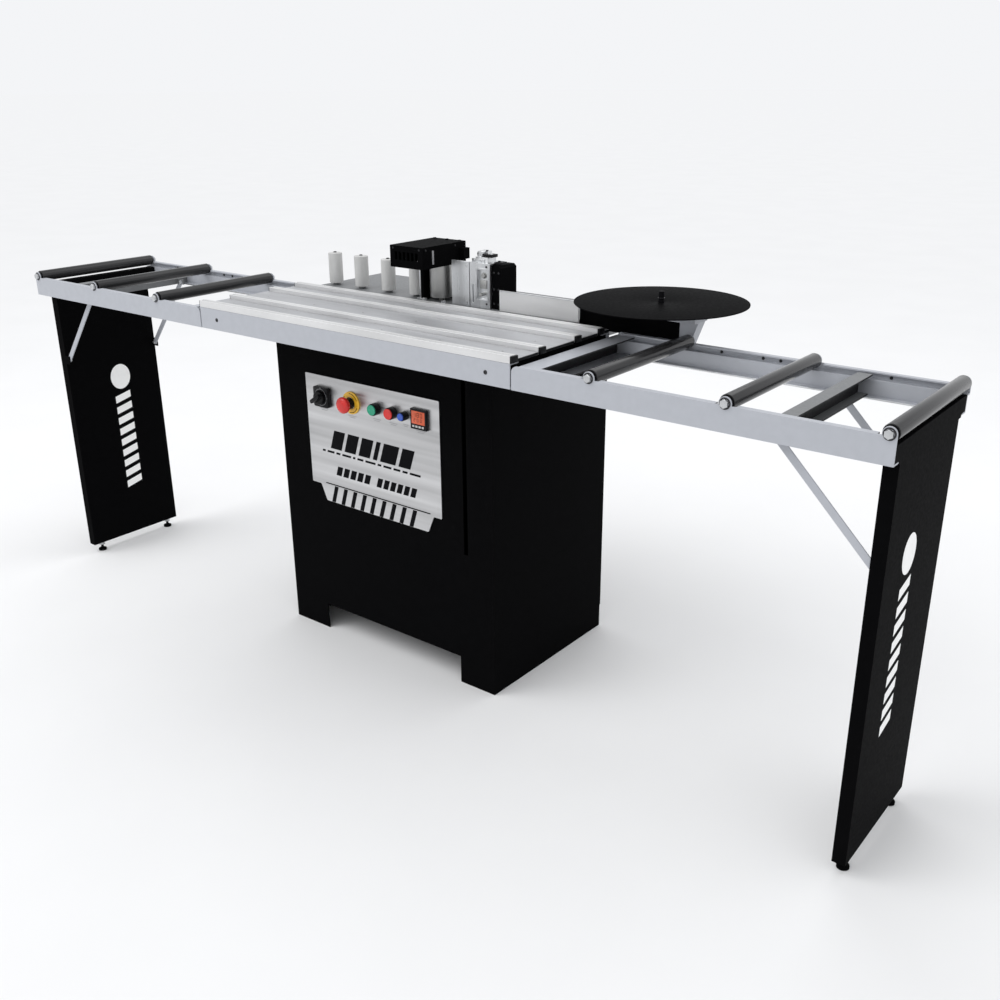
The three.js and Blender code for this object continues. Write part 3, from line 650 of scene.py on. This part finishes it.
# ---- Control plate ----
def control_plate():
    """The plate with its sloping tab, the bezels on it and its neutral printing."""
    low, high = span("control_plate")
    gap = 0.3
    thickness = 2.7
    back = span("cabinet_shell")[0].y - gap
    front = back - thickness
    tab_top = low.z + 42
    tab_left, tab_right = low.x + 31, high.x - 25
    slant = 18
    corners = [
        (low.x, tab_top),
        (tab_left, tab_top),
        (tab_left + slant, low.z),
        (tab_right - slant, low.z),
        (tab_right, tab_top),
        (high.x, tab_top),
        (high.x, high.z),
        (low.x, high.z),
    ]
    sheet = Shape().plate(rounded_outline(corners, 3), (0, back, 0), X_AXIS, Z_AXIS, back - front)
    sheet.to_slot_piece("control_plate_sheet", "brushed_plate", replaces=["control_plate"])
    push_button_bezels(front, front - low.y)
    plate_print(low, high, front, tab_top)
    plate_labels(front)


def push_button_bezels(face, height):
    """A black bezel around each push button, with ribs that give a grip."""
    gap = 0.4
    wall = 1.3
    rib = 0.45
    rib_count = 20
    bezels = Shape()
    for node in PUSH_BUTTONS:
        low, high, middle = extent(node)
        inner = (high.x - low.x) / 2 + gap
        outer = inner + wall
        section = [(inner, 0), (outer, 0), (outer, height - 2)]
        section += [(outer - 1.2, height), (inner, height), (inner, 0)]
        bezels.turned(section, (middle.x, face, middle.z), TO_FRONT, 64, 0.5)
        for i in range(rib_count):
            a = 2 * math.pi * i / rib_count
            x = middle.x + (outer - rib) * math.cos(a)
            z = middle.z + (outer - rib) * math.sin(a)
            bezels.turned(rod_section(rib, height - 4), (x, face, z), TO_FRONT, 8, 0)
    bezels.to_slot_piece("push_button_bezels", "black_plastic")


def plate_print(low, high, face, tab_top):
    """Slanted bars and thin dashes where a machine would carry its lettering."""
    height = high.z - tab_top
    name_row = tab_top + height * 0.36
    dash_row = tab_top + height * 0.315
    small_row = tab_top + height * 0.12
    dashes = (10, 24, 14, 30, 8, 20, 34, 12, 26, 22, 16, 34)
    rule = high.x - low.x - 84
    rows = (
        # inset from the left, foot, widths, bar height, gap, slant
        (74, name_row, (38, 38, 38, 14, 50, 38), 48, 10, 16),
        (44, dash_row, dashes, 5.5, 7, 1.5),
        (88, small_row, [18] * 5, 24, 6, 8),
        (226, small_row, [16] * 6, 24, 6, 8),
        (66, low.z + 0.4, [13] * 9, 44, 20, 14),
        (48, low.z + 46, [rule], 3, 0, 1),
    )
    ink = Shape()
    for inset, z, widths, bar_height, gap, slant in rows:
        slanted_bars(ink, (low.x + inset, face, z), widths, bar_height, gap, slant)
    ink.to_piece("control_plate_print", BLACK_PRINT)


def plate_labels(face):
    """Two thin lines under each control, in place of its label."""
    line_height = 1.4
    row_pitch = 4
    longest_half = 14
    labels = Shape()
    for node in ("isolator_base", "estop_collar", *PUSH_BUTTONS, "temperature_controller"):
        low, high = span(node)
        centre = (low.x + high.x) / 2
        half = min(longest_half, (high.x - low.x) / 2)
        drop = 14 if node in PUSH_BUTTONS else 6
        for row, width in enumerate((half, half * 0.7)):
            line = rectangle(-width, 0, width, line_height)
            place = (centre, face, low.z - drop - row * row_pitch)
            labels.plate(line, place, X_AXIS, Z_AXIS, FINE_PRINT_DEPTH)
    labels.to_piece("control_plate_labels", GREY_PRINT)


def isolator():
    """A square dial with a ring, marks 0 and 1, and a turning handle."""
    low, high, middle = extent("isolator_base")
    half = (high.x - low.x) / 2
    square = rounded_outline(rectangle(-half, -half, half, half), 5)
    dial = Shape().plate(square, (middle.x, high.y, middle.z), X_AXIS, Z_AXIS, high.y - low.y, 0.8)
    dial.to_slot_piece("isolator_base_plate", "black_plastic", replaces=["isolator_base"])
    face = low.y + 0.1
    marks = Shape()
    marks.turned(ring_section(19.8, 20.6, 0.2), (middle.x, face, middle.z), TO_FRONT, 64, 0)
    marks.turned(ring_section(1.2, 2, 0.25), (middle.x, face, middle.z + 22.3), TO_FRONT, 24, 0)
    one = rectangle(-1.8, -0.35, 1.8, 0.35)
    marks.plate(one, (middle.x + 22.4, face, middle.z), Z_AXIS, -X_AXIS, 0.25)
    marks.to_piece("isolator_marks", GREY_PRINT)
    isolator_handle(middle)


def isolator_handle(middle):
    """A round boss with a grip across it, at rest 35 degrees from the right towards the top."""
    low, high = span("isolator_knob")
    boss, boss_height, chamfer = 17, 10, 2
    grip_start = 8.6
    section = [(0, 0), (boss, 0), (boss, 7.5), (boss - chamfer, boss_height), (0, boss_height)]
    knob = Shape().turned(section, (middle.x, high.y, middle.z), TO_FRONT, 72, 1.2)
    tilt = math.radians(35)
    along = X_AXIS * math.cos(tilt) + Z_AXIS * math.sin(tilt)
    across = X_AXIS * math.sin(tilt) - Z_AXIS * math.cos(tilt)
    tip, waist, end, shoulder = 3.6, 4.9, 18.6, 15
    grip = [(-tip, -end), (tip, -end), (waist, -shoulder), (waist, shoulder)]
    grip += [(tip, end), (-tip, end), (-waist, shoulder), (-waist, -shoulder)]
    reach = high.y - low.y - grip_start
    knob.plate(grip, (middle.x, high.y - grip_start, middle.z), across, along, reach, 1.0)
    knob.to_slot_piece("isolator_knob_handle", "black_plastic", "isolator_knob", ["isolator_knob"])
    line = rectangle(-0.8, -4, 0.8, 16)
    place = (middle.x, low.y + 0.15, middle.z)
    pointer = Shape().plate(line, place, across, along, FINE_PRINT_DEPTH)
    pointer.to_piece("isolator_knob_pointer", WHITE_PRINT, "isolator_knob")


SEGMENTS = {0: "abcdef", 1: "bc", 2: "abged", 8: "abcdefg"}


def seven_segment(shape, digit, place, height):
    """One digit of bars: a is the top bar, then clockwise, with g in the middle."""
    width = height * 0.55
    edge = height * 0.11 / 2
    half = height / 2
    spots = {
        "a": (0, height, True),
        "b": (width, half, False),
        "c": (width, 0, False),
        "d": (0, 0, True),
        "e": (0, 0, False),
        "f": (0, half, False),
        "g": (0, half, True),
    }
    for name in SEGMENTS[digit]:
        x, z, flat = spots[name]
        if flat:
            bar = rectangle(x, z - edge, x + width, z + edge)
        else:
            bar = rectangle(x - edge, z, x + edge, z + half)
        shape.plate(bar, place, X_AXIS, Z_AXIS, FINE_PRINT_DEPTH)


def temperature_controller():
    """The controller's box, with a lit window, two rows of digits and four keys."""
    node = "temperature_controller"
    refined(node, 1.0)
    low, high, middle = extent(node)
    half = (high.x - low.x) / 2
    face = low.y
    left, bottom = middle.x - half, middle.z - half
    window = Shape().block(
        (left + 4, face - 0.3, bottom + 13),
        (middle.x + half - 4, face + 0.5, middle.z + half - 4.5),
        0.3,
    )
    window.to_piece("controller_window", DISPLAY)
    digit_pitch = 10
    rows = (((1, 8, 0), 9.5, 6), ((2, 0, 0), 7, -5))  # digits, their height, foot above the middle
    digits = Shape()
    for row, height, foot in rows:
        for i, digit in enumerate(row):
            place = (middle.x - 13 + i * digit_pitch, face - 0.3, middle.z + foot)
            seven_segment(digits, digit, place, height)
    digits.to_piece("controller_digits", BLACK_PRINT)
    key_pitch = 9.6
    key_width = 6.4
    keys = Shape()
    for i in range(4):
        x = left + 6 + i * key_pitch
        keys.block((x, face - 0.8, bottom + 5), (x + key_width, face + 0.4, bottom + 9.6), 0.5)
    keys.to_piece("controller_keys", PALE_KEYS)


# ---- Table, extensions and legs ----
def fascia_bolts():
    """Two screws through each fascia, near its ends."""
    inboard = 60
    bolts = Shape()
    for node, axis in (("front_fascia", TO_FRONT), ("rear_fascia", Y_AXIS)):
        low, high = span(node)
        face = low.y if axis is TO_FRONT else high.y
        for x in (low.x + inboard, high.x - inboard):
            bolts.dome_screw((x, face, (low.z + high.z) / 2), axis, 4.5, 1.8)
    bolts.to_piece("fascia_bolts", DARK_BOLT)


def profile_end_covers():
    """Black covers on the ends of the table profiles, which stand out more over the ribs."""
    cap_reach = 6
    cover_reach = 2
    cap_drop = 14
    margin = 0.4
    covers = Shape()
    for node in TABLE_PROFILES:
        low, high = span(node)
        front, rear = low.y + margin, high.y - margin
        for end, cap_end, cover_end in (
            (high.x + 0.1, high.x + cap_reach, high.x + cover_reach),
            (low.x - 0.1, low.x - cover_reach, low.x - cover_reach),
        ):
            cap_corner = (cap_end, low.y + RIB_WIDTH - margin, high.z - 0.3)
            covers.block((end, front, high.z - cap_drop), cap_corner, 1.0)
            covers.block((end, front, low.z), (cover_end, rear, high.z - RIB_HEIGHT - 0.3), 0.5)
    covers.to_slot_piece("profile_end_covers", "black_plastic")


def table_screws():
    """Countersunk screws along the flat of each table profile."""
    columns = 6
    inset = 60
    head = [(0, -0.4), (3.2, -0.4), (3.8, 0.25), (2.2, 0.25), (1.7, -0.1), (0, -0.1)]
    socket = rod_section(1.9, 0.1)
    screws = Shape()
    sockets = Shape()
    for node in TABLE_PROFILES:
        low, high = span(node)
        flat = high.z - RIB_HEIGHT
        middle = (low.y + RIB_WIDTH + high.y) / 2
        pitch = (high.x - low.x - 2 * inset) / (columns - 1)
        for i in range(columns):
            x = low.x + inset + i * pitch
            screws.turned(head, (x, middle, flat), Z_AXIS, 24, 0)
            sockets.turned(socket, (x, middle, flat - 0.05), Z_AXIS, 6, 0)
    screws.to_piece("table_screws", ZINC)
    sockets.to_piece("table_screw_sockets", DARK_BOLT)


def rail_details():
    """Bolts that hold the cross members, screws in the rear rail and washers on the roller axles."""
    bolts = Shape()
    dark = Shape()
    for side in SIDES:
        outward = 1 if side == "right" else -1
        cross_member_bolts(bolts, side, outward)
        rear_rail_screws(dark, side, outward)
        axle_washers(dark, side)
    bolts.to_piece("rail_bolts", ZINC)
    dark.to_piece("rail_dark_bolts", DARK_BOLT)


def cross_member_bolts(shape, side, outward):
    """The bolts at both ends of each cross member."""
    front_low = span(f"{side}_front_rail")[0]
    rear_high = span(f"{side}_rear_rail")[1]
    web_to_bolt = 22
    for cross in ("inner_cross", "outer_cross"):
        low, high = span(f"{side}_{cross}")
        web = low.x if side == "right" else high.x
        x = web + outward * web_to_bolt
        middle = (low.z + high.z) / 2
        shape.dome_screw((x, front_low.y + 9, middle - 4), Y_AXIS, 4, 1.8)
        shape.hex_bolt((x, rear_high.y - 19, middle - 8), Y_AXIS, 10, 5)


def rear_rail_screws(shape, side, outward):
    """A row of screws in the inner face of the rear rail's web."""
    low, high = span(f"{side}_rear_rail")
    front_low, front_high = span(f"{side}_front_rail")
    inner_end = front_low.x if side == "right" else front_high.x
    web = 3
    web_face = high.y - BOLT_HEAD - web
    for step in (252, 343, 380, 598):
        place = (inner_end + outward * step, web_face, low.z + 39)
        shape.dome_screw(place, TO_FRONT, 3.2, 2.4)


def axle_washers(shape, side):
    """A washer under the head of each roller's axle bolts."""
    front = span(f"{side}_front_rail")[0].y + BOLT_HEAD
    rear = span(f"{side}_rear_rail")[1].y - BOLT_HEAD
    washer = ring_section(8.2, 10.6, 1.2)
    for i in (1, 2, 3):
        middle = extent(f"{side}_support_roller_{i}")[2]
        shape.turned(washer, (middle.x, front, middle.z), TO_FRONT, 40, 0.3)
        shape.turned(washer, (middle.x, rear, middle.z), Y_AXIS, 40, 0.3)


def leg_details():
    """The bolts of the braces and the plain print on the legs."""
    for side in SIDES:
        brace_bolts(side)
        leg_print(side)


def brace_bolts(side):
    """A bolt at both ends of each brace. The braces lean inwards from foot to top."""
    inset = 7
    bolts = Shape()
    for end, axis in (("front", Y_AXIS), ("rear", TO_FRONT)):
        low, high = span(f"{side}_{end}_brace")
        face = low.y if end == "rear" else high.y
        near, far = low.x + inset, high.x - inset
        top_x, foot_x = (near, far) if side == "right" else (far, near)
        bolts.hex_bolt((top_x, face, high.z - inset), axis, 8, 5)
        bolts.hex_bolt((foot_x, face, low.z + inset), axis, 8, 5)
    bolts.to_piece(f"{side}_brace_bolts", ZINC)


def leg_print(side):
    """A column of slanted bars under an oval, in place of lettering."""
    low, high = span(f"{side}_leg")
    tab_reach = 18  # the left leg's tabs stand out this far in front of its printed face
    if side == "right":
        face, shift, start = high.x, -34, 255
    else:
        face, shift, start = high.x - tab_reach, 14, 178
    centre = (low.y + high.y) / 2 + shift
    bars = 9
    step = 34
    half_width = 26
    rise = 12
    bar_height = step * 0.62
    printed = Shape()
    for i in range(bars):
        z = start + i * step
        bar = [(-half_width, z), (half_width, z + rise)]
        bar += [(half_width, z + rise + bar_height), (-half_width, z + bar_height)]
        printed.plate(bar, (face, centre, 0), Y_AXIS, Z_AXIS, PRINT_DEPTH)
    oval_z = start + bars * step + 46
    points = 40
    angles = [2 * math.pi * j / points for j in range(points)]
    oval = [(33 * math.cos(a), oval_z + 38 * math.sin(a)) for a in angles]
    printed.plate(oval, (face, centre, 0), Y_AXIS, Z_AXIS, PRINT_DEPTH)
    printed.to_piece(f"{side}_leg_print", WHITE_PRINT)


# ---- Banding head ----
def hood_details():
    """Screws in the front and the right side, and the strip that bounds the side's panel."""
    low, high = span("head_hood")
    side_face = high.x - 12  # a small block stands out beyond it
    screws = Shape()
    for x in (low.x + 10, side_face - 10):
        screws.dome_screw((x, low.y, high.z - 8), TO_FRONT, 2.4, 1.2)
    for y in (low.y + 12, high.y - 40):
        screws.dome_screw((side_face, y, high.z - 9), X_AXIS, 2.4, 1.2)
    screws.to_piece("hood_screws", DARK_BOLT)
    strip_low = (side_face - 0.4, low.y + 34, high.z - 44)
    strip_high = (side_face + 0.8, low.y + 40, high.z - 12)
    Shape().block(strip_low, strip_high).to_piece("hood_side_strip", GREY_PRINT)


def feed_details():
    """The dark post beside the feed roller, black partly as painted shade, the bright guide strip and the
    bolts at its foot.
    """
    x, y = extent("feed_roller")[2].xy
    floor = span("glue_tank")[0].z - 0.3
    top = floor + 84
    # Painted shade, in part: the post is black to stand for the dark area beside the feed roller.
    post = Shape().block((x - 46, y - 24, floor), (x - 36, y + 24, top), 0.8)
    post.to_slot_piece("feed_post", "black_powder_coat")
    strip = Shape().block((x - 52, y - 23, floor), (x - 47, y - 3, top), 0.5)
    strip.block((x - 58, y - 26, floor), (x - 40, y + 20, floor + 3), 0.5)
    strip.to_slot_piece("feed_guide_strip", "machined_aluminium")
    bolt_y = span("head_base_plate")[0].y + 9
    bolts = Shape()
    for offset in (-30, 30):
        bolts.hex_bolt((x + offset, bolt_y, floor), Z_AXIS, 10, 6)
    bolts.to_piece("feed_bolts", ZINC)


def cutter_details():
    """Everything on the cutter block, its solenoid and the glue tank beside it."""
    low, high = span("cutter_block")
    screws = Shape()
    for z in (low.z + 11, low.z + 97):
        screws.dome_screw((high.x - 10, low.y, z), TO_FRONT, 2.6, 1.4)
    for z in (low.z + 40, low.z + 70):
        screws.dome_screw((high.x - 4, low.y + 0.1, z), TO_FRONT, 2.4, 1.4)
    screws.to_piece("cutter_screws", DARK_BOLT)
    cutter_window(low)
    solenoid_screws()
    glue_tank_screws()
    clamp(low, high, span("glue_tank")[1].z)


def cutter_window(low):
    """The frame around the block's window, and the parts that show in it."""
    front = low.y
    left, right, bottom, top = low.x + 22, low.x + 54, low.z + 21, low.z + 89
    bar = 4
    face = front - 1.4
    bars = Shape()
    bars.block((left - bar, face, bottom - bar), (left, front, top + bar), 0.5)
    bars.block((right, face, bottom - bar), (right + bar, front, top + bar), 0.5)
    bars.block((left, face, top), (right, front, top + bar), 0.5)
    bars.block((left, face, bottom - bar), (right, front, bottom), 0.5)
    bars.to_piece("cutter_window_frame", SLOT_MATERIALS["machined_aluminium"])
    centre = (left + right) / 2
    floor = front + 7
    parts = Shape()
    parts.turned(rod_section(4, 16), (centre, floor, bottom + 12), TO_FRONT, 32, 0.6)
    parts.block((left + 6, front + 3, bottom + 24), (right - 6, front + 6.8, bottom + 44), 1.0)
    parts.hex_bolt((centre, floor, top - 14), TO_FRONT, 10, 6)
    parts.to_slot_piece("cutter_inner_parts", "feed_steel")


def solenoid_screws():
    """Two columns of three screws."""
    low, high = span("cutter_solenoid")
    screws = Shape()
    for x in (low.x + 6, high.x - 6):
        for z in (low.z + 12, low.z + 46, low.z + 84):
            screws.dome_screw((x, low.y, z), TO_FRONT, 2.8, 1.6)
    screws.to_piece("solenoid_screws", DARK_BOLT)


def glue_tank_screws():
    """One screw above the other on the front plate."""
    low, high = span("glue_tank")
    screws = Shape()
    for z in (low.z + 10, high.z - 10):
        screws.dome_screw((high.x - 8, low.y, z), TO_FRONT, 2.4, 1.2)
    screws.to_piece("glue_tank_screws", ZINC)


def clamp(low, high, deck):
    """The clamp on top of the block: a plate, a sprung pin, a lever and a few small screws."""
    plate_top = deck + 19
    pin_x, pin_y = high.x - 30, low.y + 30
    dark = Shape()
    dark.block((high.x - 26, low.y + 12, deck + 12.2), (high.x - 2, low.y + 34, plate_top), 0.8)
    dark.turned(rod_section(3.4, 14), (pin_x, pin_y, deck + 12), Z_AXIS, 32, 0.6)
    dark.block((high.x + 1, low.y + 16, deck - 4), (high.x + 20, low.y + 40, deck + 2.6), 0.8)
    dark.dome_screw((high.x + 10, low.y + 24, deck + 2.6), Z_AXIS, 4, 3)
    dark.to_slot_piece("clamp_dark_parts", "black_plastic")
    bright = Shape()
    spring_turns = 5
    spring_pitch = 2.2
    for i in range(spring_turns):
        place = (pin_x, pin_y, deck + 13 + i * spring_pitch)
        bright.turned(ring_section(4.4, 6.2, 1.3), place, Z_AXIS, 40, 0.4)
    bright.block((low.x + 2, low.y + 6, deck - 0.6), (low.x + 40, low.y + 12, deck + 8), 0.8)
    for x in (low.x + 10, low.x + 30):
        bright.dome_screw((x, low.y + 6, deck + 4), TO_FRONT, 2.6, 1.6)
    bright.dome_screw((high.x - 8, low.y + 18, plate_top), Z_AXIS, 3, 2)
    bright.hex_bolt((high.x - 20, low.y + 24, plate_top), Z_AXIS, 7, 4)
    bright.to_piece("clamp_bright_parts", ZINC)


def fence_details():
    """A bright edge along the top of the fence, and the bolts in its foot."""
    low, high = span("tape_fence")
    edge_low = (low.x + 1, low.y - 0.6, high.z - 2.4)
    edge_high = (high.x - 1, low.y + 0.2, high.z - 0.2)
    edge = Shape().block(edge_low, edge_high, 0.2)
    edge.to_slot_piece("fence_top_edge", "machined_aluminium")
    count = 3
    pitch = 75
    bolts = Shape()
    for i in range(count):
        bolts.dome_screw((low.x + 30 + i * pitch, low.y + 12, low.z + 3), Z_AXIS, 4, 2.2)
    bolts.to_piece("fence_bolts", ZINC)


def coil_details():
    """The bolts of the coil bracket and the clip that keeps the disc on its spindle."""
    low, high = span("coil_bracket")
    deck = span("coil_arm")[1].z + 10
    bolts = Shape()
    for x in (low.x + 14, low.x + 34, high.x - 16):
        for y in (low.y + 10, high.y - 9):
            bolts.hex_bolt((x, y, deck), Z_AXIS, 8, 4.5)
    bolts.to_piece("coil_bracket_bolts", ZINC)
    disc_high, middle = extent("coil_disc")[1:]
    place = (middle.x, middle.y, disc_high.z + 8)
    clip = Shape().turned(ring_section(6.1, 7.6, 1), place, Z_AXIS, 40, 0.3)
    clip.to_piece("spindle_clip", DARK_BOLT)


# ---- Cabinet back ----
def rear_panel_details():
    """A sloping flap behind each vent slot, so that nobody can reach straight in."""
    inner = span("cabinet_rear_panel")[0].y + 0.2
    lowest_slot = 560
    slot_rows = 6
    slot_pitch = 26
    flap_width = 150
    flap_rise = 18
    flap_reach = 14
    sheet = 1.4
    profile = [(0, -1), (0, sheet - 1), (flap_reach, flap_rise), (flap_reach, flap_rise - sheet)]
    louvres = Shape()
    for column in (-200, 150):
        for row in range(slot_rows):
            sill = (column + flap_width / 2, inner, lowest_slot + row * slot_pitch)
            louvres.plate(profile, sill, TO_FRONT, Z_AXIS, flap_width)
    louvres.to_slot_piece("rear_louvres", "black_powder_coat")


# ---- Stage ----
def studio():
    """A wide pale floor under an even sky, a very soft sun and two large lamps."""
    size = 150
    floor_mesh = bpy.data.meshes.new("floor")
    corners = [(x, y, 0) for x, y in rectangle(-size, -size, size, size)]
    floor_mesh.from_pydata(corners, [], [(0, 1, 2, 3)])
    floor_mesh.materials.append(studio_floor("pale_floor", (0.86, 0.86, 0.86)))
    linked("floor", floor_mesh)
    world = bpy.data.worlds.new("studio")
    bpy.context.scene.world = world
    world.use_nodes = True
    sky = world.node_tree.nodes["Background"]
    sky.inputs["Color"].default_value = (0.97, 0.98, 1.0, 1)
    sky.inputs["Strength"].default_value = 0.93
    sun_data = bpy.data.lights.new("sun", "SUN")
    sun_data.energy = 0.62
    sun_data.angle = math.radians(50)
    linked("sun", sun_data).rotation_euler = (math.radians(34), math.radians(-22), 0)
    area_light("key", (-2.2, -2.6, 3.6), (0, 0, 0.7), size=2.4, watts=26)
    area_light("top", (0.2, 1.6, 3.4), (0, 0, 0.8), size=2.6, watts=16)
    bpy.context.scene.view_settings.view_transform = "Standard"


def area_light(name, place, target, size, watts):
    """A round lamp that points at the target."""
    data = bpy.data.lights.new(name, "AREA")
    data.shape = "DISK"
    data.size = size
    data.energy = watts
    light = linked(name, data)
    light.location = place
    light.rotation_euler = (Vector(target) - Vector(place)).to_track_quat("-Z", "Y").to_euler()


# Nodes that a function above makes anew, besides the numbered rollers and the feet.
OWN_FUNCTION_NODES = {
    "coil_disc",
    "feed_roller",
    "estop_button",
    "estop_collar",
    *PUSH_BUTTONS,
    "control_plate",
    "isolator_base",
    "isolator_knob",
    "temperature_controller",
}


def repaint(node, piece):
    """Second materials inside one node: painted shade on the cross members' channel sides and undersides,
    bright bolt heads, a dark spindle, flats.
    """
    low, high = span(node)
    outward = 1 if node.startswith("right") else -1
    head = BOLT_HEAD - 0.1
    if node.endswith("_cross"):
        # Painted shade: the faces that look outwards into the open channel, and those that look down, are
        # near-black.
        paint_faces(piece, PAINTED_CHANNEL_SHADE, lambda middle, normal: normal.x * outward > 0.3 or normal.z < -0.3)
    elif node.endswith("_rail"):
        paint_faces(piece, ZINC, lambda middle, normal: not low.y + head <= middle.y <= high.y - head)
    elif node == "cabinet_rear_panel":
        panel_screw = 1.9
        paint_faces(piece, ZINC, lambda middle, normal: middle.y > high.y - panel_screw)
    elif node == "coil_bracket":
        spindle = 44
        paint_faces(piece, BLACK_PRINT, lambda middle, normal: middle.z > high.z - spindle)
    elif node in TABLE_PROFILES:
        flat = high.z - RIB_HEIGHT / 2
        paint_faces(piece, TABLE_FLAT, lambda middle, normal: normal.z > 0.9 and middle.z < flat)


def refined_nodes():
    """The CAD nodes that keep their shape, with finer edges."""
    for node in sorted(frame["nodes"]):
        if not (node in OWN_FUNCTION_NODES or "_roller_" in node or node.endswith("_foot")):
            repaint(node, refined(node))


def build():
    support_rollers()
    pressure_rollers()
    feed_roller()
    coil_disc()
    levelling_feet()
    emergency_stop()
    emergency_stop_collar()
    push_buttons()
    control_plate()
    isolator()
    temperature_controller()
    refined_nodes()
    fascia_bolts()
    profile_end_covers()
    table_screws()
    rail_details()
    leg_details()
    hood_details()
    feed_details()
    cutter_details()
    fence_details()
    coil_details()
    rear_panel_details()
    for node, piece in frame["nodes"].items():
        piece.data.materials.clear()
        piece.data.materials.append(SLOT_MATERIALS[SLOT_OF[node]])
    studio()


build()
